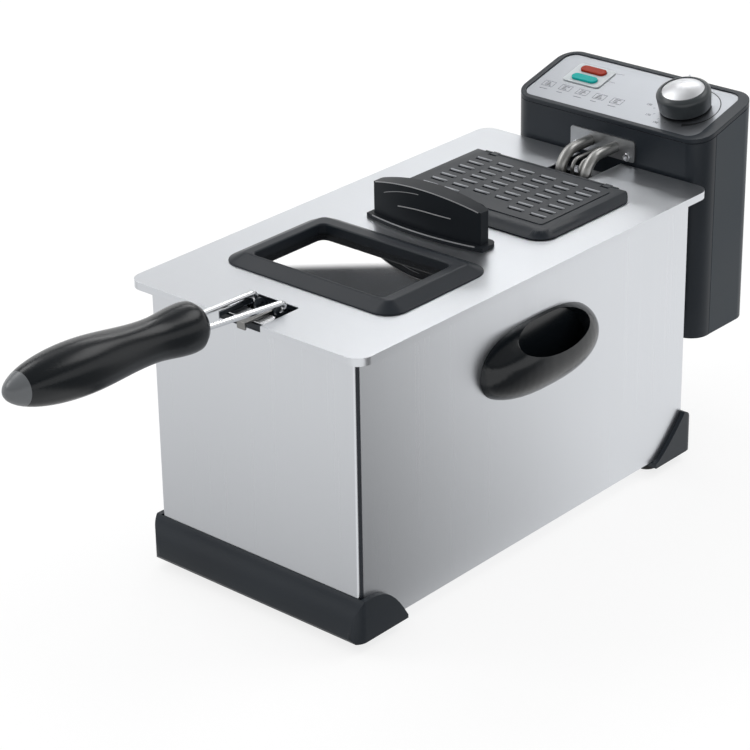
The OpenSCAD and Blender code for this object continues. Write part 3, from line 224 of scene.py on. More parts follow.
NOISE_LOW, NOISE_HIGH = 0.3, 0.7  # what a noise texture's value mostly stays between
BUMP_DEPTH = 0.0001


def spread(nodes, links, source, socket, low, high):
    """Feeds a noise to socket as a value between low and high."""
    _, between = calculator(nodes, links)
    links.new(between(source, NOISE_LOW, NOISE_HIGH, low, high), socket)


def shade(nodes, links, source, socket, colour, amount):
    """Feeds colour to socket, darker and lighter by amount where the noise falls and rises."""
    _, between = calculator(nodes, links)
    mix = nodes.new("ShaderNodeMix")
    mix.data_type = "RGBA"
    mix.inputs["A"].default_value = (*(c * (1 - amount) for c in colour), 1)
    mix.inputs["B"].default_value = (*(min(1, c * (1 + amount)) for c in colour), 1)
    links.new(between(source, NOISE_LOW, NOISE_HIGH, 0, 1), mix.inputs["Factor"])
    links.new(mix.outputs["Result"], socket)


def bump(nodes, links, source, shader, strength):
    node = nodes.new("ShaderNodeBump")
    node.inputs["Strength"].default_value = strength
    node.inputs["Distance"].default_value = BUMP_DEPTH
    links.new(source, node.inputs["Height"])
    links.new(node.outputs["Normal"], shader.inputs["Normal"])


def drawn_metal(name, colour, roughness, stretch, groove=0.05, vary=0.04, tone=0.03, cloud=6.0):
    """Metal with drawn lines; stretch is the count of lines for each metre along X, Y and Z."""
    mat, nodes, links, shader = plain_material(name, colour, roughness, 1.0)
    grain = nodes.new("ShaderNodeGroup")
    grain.node_tree = GROUPS["grain"]
    grain.inputs["Stretch"].default_value = stretch
    grain.inputs["Cloud"].default_value = cloud
    lines, clouds = grain.outputs["Lines"], grain.outputs["Clouds"]
    spread(nodes, links, lines, shader.inputs["Roughness"], roughness - vary, roughness + vary)
    shade(nodes, links, clouds, shader.inputs["Base Color"], colour, tone)
    bump(nodes, links, lines, shader, groove)
    return mat


def moulded(name, colour, roughness, texture=0.08, vary=0.04, tone=0.08, fineness=1800.0, specular=0.5):
    """Plastic or rubber with a fine texture; fineness is the count of its grains for each metre."""
    mat, nodes, links, shader = plain_material(name, colour, roughness)
    grain = nodes.new("ShaderNodeGroup")
    grain.node_tree = GROUPS["moulded"]
    grain.inputs["Fineness"].default_value = fineness
    clouds = grain.outputs["Clouds"]
    spread(nodes, links, clouds, shader.inputs["Roughness"], roughness - vary, roughness + vary)
    shade(nodes, links, clouds, shader.inputs["Base Color"], colour, tone)
    bump(nodes, links, grain.outputs["Height"], shader, texture)
    shader.inputs["Specular IOR Level"].default_value = specular
    return mat


GROUPS = {}
FINISH = {}


def make_materials(finish):
    GROUPS["grain"] = make_grain_group()
    GROUPS["moulded"] = make_moulded_group()
    c = {name: tuple(getattr(finish, name)) for name in FryerFinish.__annotations__}
    dull = tuple(v * 0.8 for v in c["steel"])
    hook = tuple(v * 0.6 for v in c["tube"])
    plate, flange = (0.37, 0.385, 0.41), (0.42, 0.43, 0.44)
    FINISH.update({
        "lid steel": drawn_metal("Satin steel, lid", c["steel"], 0.32, (3, 700, 700), 0.015, 0.02, 0.02, 4),
        "panel steel": drawn_metal(
            "Satin steel, panels", c["steel"], 0.30, (900, 900, 3), 0.03, 0.03, 0.02, 4),
        "base steel": drawn_metal("Plain steel sheet", dull, 0.42, (60, 60, 60), 0.02),
        "plate steel": drawn_metal("Satin steel, control plate", plate, 0.34, (4, 1200, 1200), 0.02),
        "bright steel": drawn_metal("Bright steel", c["bright"], 0.14, (40, 40, 40), 0.01, 0.03),
        "cap steel": drawn_metal("Turned knob cap", c["bright"], 0.36, (30, 30, 30), 0.01, 0.02),
        "tank steel": drawn_metal("Deep-drawn steel", c["bright"], 0.22, (500, 500, 4), 0.03, 0.05),
        "tube steel": drawn_metal("Heating tube", c["tube"], 0.40, (300, 300, 300), 0.04, 0.06, 0.10, 30),
        "flange steel": drawn_metal("Flange steel", flange, 0.42, (300, 300, 300), 0.05, 0.06, 0.08, 60),
        "hook steel": drawn_metal("Hook steel", hook, 0.34, (200, 200, 200), 0.02),
        "black": moulded("Black moulded plastic", c["black"], 0.36, specular=0.26),
        "cover": moulded("Cover plastic", c["cover"], 0.36, 0.06, specular=0.2),
        "grey": moulded("Grey moulded plastic", c["grey"], 0.42, specular=0.3),
        "gloss": moulded("Smooth black plastic", c["gloss"], 0.22, 0.02, 0.03, specular=0.45),
        "knob": moulded("Knob plastic", c["knob"], 0.34, 0.03, 0.03),
        "grip": moulded("Grip plastic", c["gloss"], 0.24, 0.03, 0.03, specular=0.34),
        "pull": moulded("Lid handle plastic", (0.015, 0.018, 0.022), 0.42, 0.04, specular=0.12),
        # Pale grey on the thin ridges of the lid handle is a painted highlight.
        "line": moulded("Polished edge", (0.30, 0.305, 0.315), 0.22, 0.0, 0.02),
        # Pale grey on the raised louvre lips is a painted highlight.
        "lip": moulded("Louvre lip", c["lip"], 0.26, 0.03),
        "cap": moulded("Grip end plastic", c["cap"], 0.30, 0.03),
        "rubber": moulded("Rubber", (0.012, 0.012, 0.012), 0.75, 0.3, 0.05, 0.1, 900),
        "pale": moulded("Pale plastic", (0.60, 0.64, 0.66), 0.35, 0.03),
        "stat": moulded("Phenolic plastic", (0.10, 0.065, 0.04), 0.5, 0.15, 0.05, 0.2),
        "red": moulded("Red lens", c["red"], 0.14, 0.0, 0.02, 0.05, specular=0.02),
        "green": moulded("Green lens", c["green"], 0.14, 0.0, 0.02, 0.05, specular=0.02),
        "button": moulded("Red plastic", (0.35, 0.02, 0.015), 0.3, 0.03),
        "mark": moulded("Dark print", (0.10, 0.105, 0.115), 0.45, 0.0, 0.03, 0.2),
        # Black print for the numbers; the same black draws the painted shadow of the knob on the plate.
        "ring": moulded("Black print", (0.012, 0.013, 0.015), 0.40, 0.0, 0.03, 0.2),
        "glass": make_glass(),
    })


def make_glass():
    """Tinted glass with a reflecting layer on its upper face."""
    mat, nodes, links, shader = plain_material("Tinted glass", (0.16, 0.18, 0.21), 0.02)
    shader.inputs["Transmission Weight"].default_value = 1.0
    shader.inputs["IOR"].default_value = 1.5
    shader.inputs["Coat Weight"].default_value = 1.0
    shader.inputs["Coat IOR"].default_value = 2.3
    shader.inputs["Coat Roughness"].default_value = 0.01
    grain = nodes.new("ShaderNodeGroup")
    grain.node_tree = GROUPS["moulded"]
    spread(nodes, links, grain.outputs["Clouds"], shader.inputs["Roughness"], 0.01, 0.035)
    return mat


# ------------------------------------------------------------------ mesh tools


def new_object(name, verts, faces, mat):
    mesh = bpy.data.meshes.new(name)
    mesh.from_pydata([tuple(v) for v in verts], [], faces)
    mesh.materials.append(mat)
    obj = bpy.data.objects.new(name, mesh)
    bpy.context.scene.collection.objects.link(obj)
    return obj


def solid_copy(name, node, mat, coplanar=0.4):
    """A copy of a frame node's mesh, its triangles joined and its flat faces made whole."""
    source = frame["nodes"][node].data
    bm = bmesh.new()
    corners = [bm.verts.new(v.co) for v in source.vertices]
    for p in source.polygons:
        bm.faces.new([corners[i] for i in p.vertices])
    bmesh.ops.remove_doubles(bm, verts=bm.verts, dist=2e-6)
    bmesh.ops.dissolve_degenerate(bm, dist=1e-6, edges=bm.edges)
    bmesh.ops.dissolve_limit(bm, angle_limit=math.radians(coplanar), verts=bm.verts, edges=bm.edges)
    mesh = bpy.data.meshes.new(name)
    bm.to_mesh(mesh)
    bm.free()
    mesh.materials.append(mat)
    obj = bpy.data.objects.new(name, mesh)
    bpy.context.scene.collection.objects.link(obj)
    return obj


def settle(obj):
    """Turns an object's modifiers into plain mesh."""
    bpy.context.view_layer.update()
    graph = bpy.context.evaluated_depsgraph_get()
    mesh = bpy.data.meshes.new_from_object(obj.evaluated_get(graph), depsgraph=graph)
    obj.modifiers.clear()
    old, obj.data = obj.data, mesh
    mesh.name = obj.name
    bpy.data.meshes.remove(old)
    return obj


def smooth(obj, angle=40.0):
    """Smooth shading, broken at edges sharper than angle, with flat faces kept flat."""
    obj.data.shade_smooth()
    obj.data.set_sharp_from_angle(angle=math.radians(angle))
    mod = obj.modifiers.new("Even normals", "WEIGHTED_NORMAL")
    mod.keep_sharp = True
    return settle(obj)


def round_edges(obj, width, segments=3, angle=30.0):
    mod = obj.modifiers.new("Rounded edges", "BEVEL")
    mod.width = width
    mod.segments = segments
    mod.limit_method = "ANGLE"
    mod.angle_limit = math.radians(angle)
    mod.miter_outer = "MITER_ARC"
    return settle(obj)


def place(obj, node, *more):
    """Rides the piece on the node's body and lets it stand for the node and for more."""
    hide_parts(node, *more)
    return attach(obj, BODY_OF[node])


def add_on(obj, body):
    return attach(obj, body)


def dress(node, finish, width=None, segments=3, angle=30.0, name=None):
    """Finished copy of a node, with rounded edges if a width is given."""
    obj = solid_copy(name or "fryer_" + node, node, FINISH[finish])
    if width:
        round_edges(obj, width, segments, angle)
    smooth(obj)
    return place(obj, node)


def coat(node, finish):
    """Gives a node that keeps its own mesh its material."""
    data = frame["nodes"][node].data
    data.materials.clear()
    data.materials.append(FINISH[finish])


def lathe(name, profile, turns, mat, matrix):
    """Revolves (radius, height) pairs about Z; a radius of 0 at an end closes it with a pole."""
    verts, faces = [], []
    rings = []
    for r, h in profile:
        if r < 1e-9:
            rings.append([len(verts)])
            verts.append(matrix @ Vector((0, 0, h)))
            continue
        rings.append(list(range(len(verts), len(verts) + turns)))
        for i in range(turns):
            a = 2 * math.pi * i / turns
            verts.append(matrix @ Vector((r * math.cos(a), r * math.sin(a), h)))
    for low, high in zip(rings, rings[1:]):
        for i in range(turns):
            j = (i + 1) % turns
            if len(low) == 1:
                faces.append((low[0], high[j], high[i]))
            elif len(high) == 1:
                faces.append((low[i], low[j], high[0]))
            else:
                faces.append((low[i], low[j], high[j], high[i]))
    return new_object(name, verts, faces, mat)


def corner_loop(x0, y0, x1, y1, r, z, steps=8):
    """Points round a rectangle with round corners, anticlockwise seen from above; millimetres."""
    loop = []
    corners = ((x1 - r, y0 + r), (x1 - r, y1 - r), (x0 + r, y1 - r), (x0 + r, y0 + r))
    for (cx, cy), start in zip(corners, (-90, 0, 90, 180)):
        for i in range(steps + 1):
            a = math.radians(start + 90 * i / steps)
            loop.append(at(cx + r * math.cos(a), cy + r * math.sin(a), z))
    return loop


def ring_loft(name, loops, mat):
    """A closed ring through loops of equally many points, each the next step round its section."""
    n, count = len(loops[0]), len(loops)
    faces = [(a * n + i, a * n + (i + 1) % n, b * n + (i + 1) % n, b * n + i)
             for a in range(count) for b in [(a + 1) % count] for i in range(n)]
    return new_object(name, [v for loop in loops for v in loop], faces, mat)


def wire(name, points, radius, mat, sides=10):
    """A thin round bar through points, closed at both ends."""
    curve = bpy.data.curves.new(name, "CURVE")
    curve.dimensions = "3D"
    curve.bevel_depth = radius
    curve.bevel_resolution = sides // 4
    curve.use_fill_caps = True
    line = curve.splines.new("POLY")
    line.points.add(len(points) - 1)
    for spot, point in zip(line.points, points):
        spot.co = (*point, 1)
    obj = bpy.data.objects.new(name, curve)
    bpy.context.scene.collection.objects.link(obj)
    bpy.context.view_layer.update()
    graph = bpy.context.evaluated_depsgraph_get()
    mesh = bpy.data.meshes.new_from_object(obj.evaluated_get(graph), depsgraph=graph)
    bpy.data.objects.remove(obj)
    bpy.data.curves.remove(curve)
    mesh.materials.clear()
    mesh.materials.append(mat)
    mesh.shade_smooth()
    made = bpy.data.objects.new(name, mesh)
    bpy.context.scene.collection.objects.link(made)
    return made


def join(name, objects):
    """Puts several objects of one material into one."""
    bm = bmesh.new()
    for obj in objects:
        bm.from_mesh(obj.data)
    mesh = bpy.data.meshes.new(name)
    bm.to_mesh(mesh)
    bm.free()
    mesh.materials.append(objects[0].data.materials[0])
    for obj in objects:
        old = obj.data
        bpy.data.objects.remove(obj)
        bpy.data.meshes.remove(old)
    made = bpy.data.objects.new(name, mesh)
    bpy.context.scene.collection.objects.link(made)
    return made


def cut(obj, tool):
    """Takes tool away from obj."""
    mod = obj.modifiers.new("Cut", "BOOLEAN")
    mod.operation = "DIFFERENCE"
    mod.object = tool
    mod.solver = "EXACT"
    settle(obj)
    old = tool.data
    bpy.data.objects.remove(tool)
    bpy.data.meshes.remove(old)
    return obj


def prisms(name, outlines, low, high, mat, matrix):
    """Upright prisms on flat outlines, which run anticlockwise; millimetres in matrix's frame."""
    verts, faces = [], []
    for outline in outlines:
        base, n = len(verts), len(outline)
        verts += [matrix @ Vector((x * MM, y * MM, z * MM)) for z in (low, high) for x, y in outline]
        faces.append(tuple(base + i for i in reversed(range(n))))
        faces.append(tuple(base + n + i for i in range(n)))
        faces += [(base + i, base + (i + 1) % n, base + n + (i + 1) % n, base + n + i) for i in range(n)]
    return new_object(name, verts, faces, mat)


# ------------------------------------------------------------------ geometry nodes


def node_tree(name, inputs):
    """A Geometry Nodes tree with named inputs; returns it with its input and output nodes."""
    tree = bpy.data.node_groups.new(name, "GeometryNodeTree")
    tree.interface.new_socket("Geometry", in_out="INPUT", socket_type="NodeSocketGeometry")
    for label, kind, default in inputs:
        socket = tree.interface.new_socket(label, in_out="INPUT", socket_type=kind)
        if default is not None:
            socket.default_value = default
    tree.interface.new_socket("Geometry", in_out="OUTPUT", socket_type="NodeSocketGeometry")
    return tree, tree.nodes.new("NodeGroupInput"), tree.nodes.new("NodeGroupOutput")


def grow(obj, tree, values):
    """Runs a tree on obj with the given inputs and keeps the plain mesh."""
    mod = obj.modifiers.new(tree.name, "NODES")
    mod.node_group = tree
    for item in tree.interface.items_tree:
        if item.in_out == "INPUT" and item.name in values:
            mod[item.identifier] = values[item.name]
    settle(obj)
    obj.data.materials.clear()
    obj.data.materials.append(values["Material"])
    return obj


def finish_tree(tree, source, material, out):
    """Ends a tree: real geometry, smooth shading, material."""
    n, link = tree.nodes, tree.links
    real = n.new("GeometryNodeRealizeInstances")
    soft = n.new("GeometryNodeSetShadeSmooth")
    paint = n.new("GeometryNodeSetMaterial")
    link.new(source, soft.inputs["Geometry"])
    link.new(soft.outputs["Geometry"], real.inputs["Geometry"])
    link.new(real.outputs["Geometry"], paint.inputs["Geometry"])
    link.new(material, paint.inputs["Material"])
    link.new(paint.outputs["Geometry"], out.inputs["Geometry"])


def make_lip_tree():
    """Short bars on a grid of columns and rows; the front row leaves out its middle two."""
    tree, inp, out = node_tree("Louvre lips", [
        ("Columns", "NodeSocketInt", 6), ("Rows", "NodeSocketInt", 7),
        ("Column pitch", "NodeSocketFloat", 0.019), ("Row pitch", "NodeSocketFloat", 0.010),
        ("Length", "NodeSocketFloat", 0.012), ("Radius", "NodeSocketFloat", 0.0008),
        ("Material", "NodeSocketMaterial", None)])
    n, link = tree.nodes, tree.links
    maths, _ = calculator(n, link)
    field = n.new("GeometryNodeMeshGrid")
    link.new(inp.outputs["Columns"], field.inputs["Vertices X"])
    link.new(inp.outputs["Rows"], field.inputs["Vertices Y"])
    across, along = inp.outputs["Column pitch"], inp.outputs["Row pitch"]
    link.new(maths("MULTIPLY", maths("SUBTRACT", inp.outputs["Columns"], 1), across), field.inputs["Size X"])
    link.new(maths("MULTIPLY", maths("SUBTRACT", inp.outputs["Rows"], 1), along), field.inputs["Size Y"])
    where = n.new("GeometryNodeInputPosition")
    split = n.new("ShaderNodeSeparateXYZ")
    link.new(where.outputs["Position"], split.inputs[0])
    half = maths("SUBTRACT", maths("DIVIDE", inp.outputs["Rows"], 2), 1)
    second_row = maths("MULTIPLY", maths("MULTIPLY", half, along), -1)
    first_row = maths("LESS_THAN", split.outputs["Y"], second_row)
    middle = maths("LESS_THAN", maths("ABSOLUTE", split.outputs["X"]), across)
    drop = n.new("GeometryNodeDeleteGeometry")
    link.new(field.outputs["Mesh"], drop.inputs["Geometry"])
    link.new(maths("MULTIPLY", first_row, middle), drop.inputs["Selection"])
    bar = n.new("GeometryNodeMeshCylinder")
    bar.inputs["Vertices"].default_value = 12
    link.new(inp.outputs["Radius"], bar.inputs["Radius"])
    link.new(inp.outputs["Length"], bar.inputs["Depth"])
    each = n.new("GeometryNodeInstanceOnPoints")
    each.inputs["Rotation"].default_value = (0, math.pi / 2, 0)
    link.new(drop.outputs["Geometry"], each.inputs["Points"])
    link.new(bar.outputs["Mesh"], each.inputs["Instance"])
    finish_tree(tree, each.outputs["Instances"], inp.outputs["Material"], out)
    return tree


def make_wire_tree():
    """Round wires along the edges of the mesh that comes in, in a row of copies."""
    tree, inp, out = node_tree("Wire row", [
        ("Count", "NodeSocketInt", 1), ("Offset", "NodeSocketVector", (0, 0, 0)),
        ("Bend", "NodeSocketFloat", 0.006), ("Radius", "NodeSocketFloat", 0.0005),
        ("Material", "NodeSocketMaterial", None)])
    n, link = tree.nodes, tree.links
    path = n.new("GeometryNodeMeshToCurve")
    bend = n.new("GeometryNodeFilletCurve")
    bend.mode = "POLY"
    bend.inputs["Count"].default_value = 5
    bend.inputs["Limit Radius"].default_value = True
    row = n.new("GeometryNodeMeshLine")
    each = n.new("GeometryNodeInstanceOnPoints")
    real = n.new("GeometryNodeRealizeInstances")
    ring = n.new("GeometryNodeCurvePrimitiveCircle")
    ring.inputs["Resolution"].default_value = 6
    tube = n.new("GeometryNodeCurveToMesh")
    tube.inputs["Fill Caps"].default_value = True
    link.new(inp.outputs["Geometry"], path.inputs["Mesh"])
    link.new(path.outputs["Curve"], bend.inputs["Curve"])
    link.new(inp.outputs["Bend"], bend.inputs["Radius"])
    link.new(inp.outputs["Count"], row.inputs["Count"])
    link.new(inp.outputs["Offset"], row.inputs["Offset"])
    link.new(row.outputs["Mesh"], each.inputs["Points"])
    link.new(bend.outputs["Curve"], each.inputs["Instance"])
    link.new(each.outputs["Instances"], real.inputs["Geometry"])
    link.new(inp.outputs["Radius"], ring.inputs["Radius"])
    link.new(real.outputs["Geometry"], tube.inputs["Curve"])
    link.new(ring.outputs["Curve"], tube.inputs["Profile Curve"])
    finish_tree(tree, tube.outputs["Mesh"], inp.outputs["Material"], out)
    return tree


def polylines(name, lines, closed=False):
    """A mesh of edges only; points in millimetres from the front panel."""
    verts, edges = [], []
    for line in lines:
        base = len(verts)
        verts += [at(*p) for p in line]
        edges += [(base + i, base + i + 1) for i in range(len(line) - 1)]
        if closed:
            edges.append((len(verts) - 1, base))
    mesh = bpy.data.meshes.new(name)
    mesh.from_pydata([tuple(v) for v in verts], edges, [])
    obj = bpy.data.objects.new(name, mesh)
    bpy.context.scene.collection.objects.link(obj)
    return obj


# ------------------------------------------------------------------ pieces


class FRYER_OT_materials(bpy.types.Operator):
    """Makes the materials"""
    bl_idname = "fryer.materials"
    bl_label = "Materials"

    def execute(self, context):
        make_materials(context.scene.fryer_finish)
        return {"FINISHED"}


class FRYER_OT_housing(bpy.types.Operator):
    """Makes the steel panels, the dark trim and the feet"""
    bl_idname = "fryer.housing"
    bl_label = "Housing"

    def execute(self, context):
        edge = context.scene.fryer_sizes.edge
        for node in ("front_panel", "side_panel_left", "side_panel_right", "rear_panel"):
            dress(node, "panel steel")
        dress("base_plate", "base steel")
        # The corner strips are dark pieces in the gaps beside the front panel; their black is painted shade
        # for those gaps.
        for node in ("corner_strip_left", "corner_strip_right", "top_frame"):
            dress(node, "black")
        for node in ("front_trim", "rear_shoe_left", "rear_shoe_right"):
            dress(node, "black", edge, 3, 40)
        for node in ("foot_front_left", "foot_front_right", "foot_rear_left", "foot_rear_right"):
            dress(node, "rubber", edge)
        dress("rear_guide", "black", edge * 0.6)
        coat("side_handle_screws", "bright steel")
        return {"FINISHED"}


class FRYER_OT_side_handles(bpy.types.Operator):
    """Makes the cup handles on the sides"""
    bl_idname = "fryer.side_handles"
    bl_label = "Side handles"

    def execute(self, context):
        for node in ("side_handle_left", "side_handle_right"):
            dress(node, "gloss", 0.0015, 4, 35)
        return {"FINISHED"}


class FRYER_OT_tank(bpy.types.Operator):
    """Makes the oil tank"""
    bl_idname = "fryer.tank"
    bl_label = "Tank"

    def execute(self, context):
        dress("oil_tank", "tank steel")
        return {"FINISHED"}


class FRYER_OT_heating_unit(bpy.types.Operator):
    """Makes the heating tube with its flange, sensors and clip"""
    bl_idname = "fryer.heating_unit"
    bl_label = "Heating unit"

    def execute(self, context):
        dress("heating_element", "tube steel")
        for node in ("thermostat_sensor", "cutout_sensor", "sensor_clip"):
            dress(node, "tube steel")
        dress("element_flange", "flange steel", 0.0004)
        low, high = span("flange_screws")
        head_r, slot_l, slot_w, slot_deep = 3, 1.7, 0.35, 0.9
        steel = FINISH["bright steel"]
        screws = round_edges(solid_copy("fryer_flange_screws", "flange_screws", steel), 0.0007)
        turn = Matrix.Rotation(math.pi / 2, 4, "X") @ Matrix.Rotation(0.5, 4, "Z")
        for x in (low.x + head_r, high.x - head_r):
            stand = Matrix.Translation(at(x, low.y, (low.z + high.z) / 2)) @ turn
            for a, b in ((slot_l, slot_w), (slot_w, slot_l)):
                outline = [(-a, -b), (a, -b), (a, b), (-a, b)]
                cut(screws, prisms("cross", [outline], -slot_deep, 1.0, steel, stand))
        place(smooth(screws), "flange_screws")
        return {"FINISHED"}


class FRYER_OT_control_box(bpy.types.Operator):
    """Makes the control box and what is fixed inside it"""
    bl_idname = "fryer.control_box"
    bl_label = "Control box"

    def execute(self, context):
        edge = context.scene.fryer_sizes.edge
        dress("front_shell", "black", edge)
        dress("rear_cover", "grey", edge)
        dress("top_bezel", "black", edge * 1.4, 4)
        dress("cord_gland", "rubber", edge * 0.6)
        dress("cover_screws", "bright steel", 0.0005)
        for node, finish in (("thermostat", "stat"), ("terminal_block", "pale"), ("thermal_cutout", "stat"),
                             ("lamp_holder", "pale")):
            dress(node, finish, 0.0004)
        dress("reset_button", "button", 0.0004)
        return {"FINISHED"}


def number(label, height, x, v):
    """A flat number on the control plate, as mesh."""
    curve = bpy.data.curves.new("number", "FONT")
    curve.body = label
    curve.size = height * MM
    curve.align_x, curve.align_y = "CENTER", "CENTER"
    curve.extrude = 0.00002
    obj = bpy.data.objects.new("number", curve)
    bpy.context.scene.collection.objects.link(obj)
    bpy.context.view_layer.update()
    graph = bpy.context.evaluated_depsgraph_get()
    mesh = bpy.data.meshes.new_from_object(obj.evaluated_get(graph), depsgraph=graph)
    bpy.data.objects.remove(obj)
    bpy.data.curves.remove(curve)
    mesh.transform(ON_SLOPE @ Matrix.Translation((x * MM, v * MM, (PLATE_Z + 0.02) * MM)))
    mesh.materials.clear()
    mesh.materials.append(FINISH["ring"])
    made = bpy.data.objects.new("number", mesh)
    bpy.context.scene.collection.objects.link(made)
    return made


class FRYER_OT_control_panel(bpy.types.Operator):
    """Makes the control plate with its lamps"""
    bl_idname = "fryer.control_panel"
    bl_label = "Control panel"

    def execute(self, context):
        dress("panel_plate", "plate steel")
        dress("lamp_frame", "pale", 0.0003)
        dress("lamp_lens_red", "red", 0.0012, 4)
        dress("lamp_lens_green", "green", 0.0012, 4)
        body, slot = BODY_OF["panel_plate"], SLOT_OF["panel_plate"]
        low, high = PLATE_Z, PLATE_Z + 0.04
        kx, kv = KNOB_AT

        def bar(x0, v0, x1, v1, width):
            dx, dv = x1 - x0, v1 - v0
            k = width / 2 / math.hypot(dx, dv)
            sx, sv = -dv * k, dx * k
            return [(x0 - sx, v0 - sv), (x1 - sx, v1 - sv), (x1 + sx, v1 + sv), (x0 + sx, v0 + sv)]

        def frame_of(x, v, w, h, t):
            x0, x1, v0, v1 = x - w / 2, x + w / 2, v - h / 2, v + h / 2
            return [bar(x0, v0, x1, v0, t), bar(x1, v0, x1, v1, t), bar(x1, v1, x0, v1, t),
                    bar(x0, v1, x0, v0, t)]

        thin, first_x, pitch, box_v = 0.35, -62, 15.5, 22.5
        shapes = [bar(-26.5, 53.4, -16.5, 54.6, thin), bar(-26.5, 42.4, -16.5, 42.6, thin)]
        for i in range(5):
            x = first_x + pitch * i
            shapes += frame_of(x, box_v, 9.5, 6.5, thin)
            for k in range(3):
                v = box_v + (k - 1) * 1.7
                shapes.append(bar(x - 2.6, v, x + 2.6 - (i + k) % 3, v, 0.7))
            shapes.append(bar(x - 3.5, 15.6, x + 3.5 - i % 2 * 2, 15.6, 0.5))
        for degrees in range(-235, -75, 20):
            a = math.radians(degrees)
            shapes.append(bar(kx + 21.6 * math.cos(a), kv + 21.6 * math.sin(a),
                              kx + 23.4 * math.cos(a), kv + 23.4 * math.sin(a), 0.4))
        add_on(prisms("fryer_panel_marks", shapes, low, high, FINISH["mark"], ON_SLOPE), body)
        # A dark crescent on the plate round the knob's right side, thick at its front end and thin towards
        # the back: a painted shadow of the knob.
        from_degrees, sweep, steps = -62, 142, 36
        inner, outer = [], []
        for i in range(steps + 1):
            turned = sweep * i / steps
            width = 0.8 + 2.9 * max(0.0, 1 - turned / 48) ** 1.3
            a = math.radians(from_degrees + turned)
            for side, r in ((inner, 25 + i / steps - width), (outer, 25 + i / steps)):
                side.append((kx + r * math.cos(a), kv + r * math.sin(a)))
        strips = [[inner[i], outer[i], outer[i + 1], inner[i + 1]] for i in range(steps)]
        add_on(prisms("fryer_dial_ring", strips, low, high, FINISH["ring"], ON_SLOPE), body)
        numbers = []
        for degrees, label in ((-225, "110"), (-195, "130"), (-165, "150"), (-135, "170"), (-108, "190")):
            a = math.radians(degrees)
            numbers.append(number(label, 3.0, kx + 27.6 * math.cos(a), kv + 26.4 * math.sin(a)))
        add_on(join("fryer_dial_numbers", numbers), body)
        return {"FINISHED"}


class FRYER_OT_knob(bpy.types.Operator):
    """Makes the thermostat knob"""
    bl_idname = "fryer.knob"
    bl_label = "Knob"

    def execute(self, context):
        turns = context.scene.fryer_sizes.turns
        stand = ON_SLOPE @ Matrix.Translation((KNOB_AT[0] * MM, KNOB_AT[1] * MM, 0))

        def turned(name, node, finish, profile):
            obj = lathe(name, [(r * MM, h * MM) for r, h in profile], turns, FINISH[finish], stand)
            return place(smooth(obj, 35), node)

        underside = [(0, 1.8), (5.5, 1.8), (5.5, 0.4), (18.0, 0.4), (18.4, 0.55), (18.65, 0.9), (18.8, 1.6)]
        rim = [(19.65, 10.2), (19.72, 11.0), (19.6, 11.9), (19.2, 12.8), (18.5, 13.7), (17.6, 14.4),
               (16.8, 14.85), (16.2, 15.05), (15.8, 15.05), (15.58, 14.9), (15.5, 14.5)]
        turned("fryer_knob", "knob", "knob", underside + rim + [(15.5, 13.1), (0, 13.1)])
        cap_r, cap_top, rise = 15.4, 17.5, 3
        dome = (cap_r ** 2 + rise ** 2) / rise / 2
        cap = [(0, 13.12), (15.0, 13.12), (15.3, 13.3), (cap_r, 13.7), (cap_r, 14.2)]
        cap += [(r, cap_top - dome + math.sqrt(dome * dome - r * r))
                for r in (15.3, 15.1, 14.5, 13.5, 12, 10, 8, 6, 4, 2, 0)]
        turned("fryer_knob_cap", "knob_cap", "cap steel", cap)
        coat("knob_shaft", "bright steel")
        way = Matrix.Rotation(math.radians(20), 4, "Z")
        outline = [(-0.5, 16.3), (0.5, 16.3), (0.5, 19.0), (-0.5, 19.0)]
        mark = prisms("fryer_knob_pointer", [outline], 12.2, 15.0, FINISH["pale"], stand @ way)
        add_on(mark, BODY_OF["knob"])
        return {"FINISHED"}


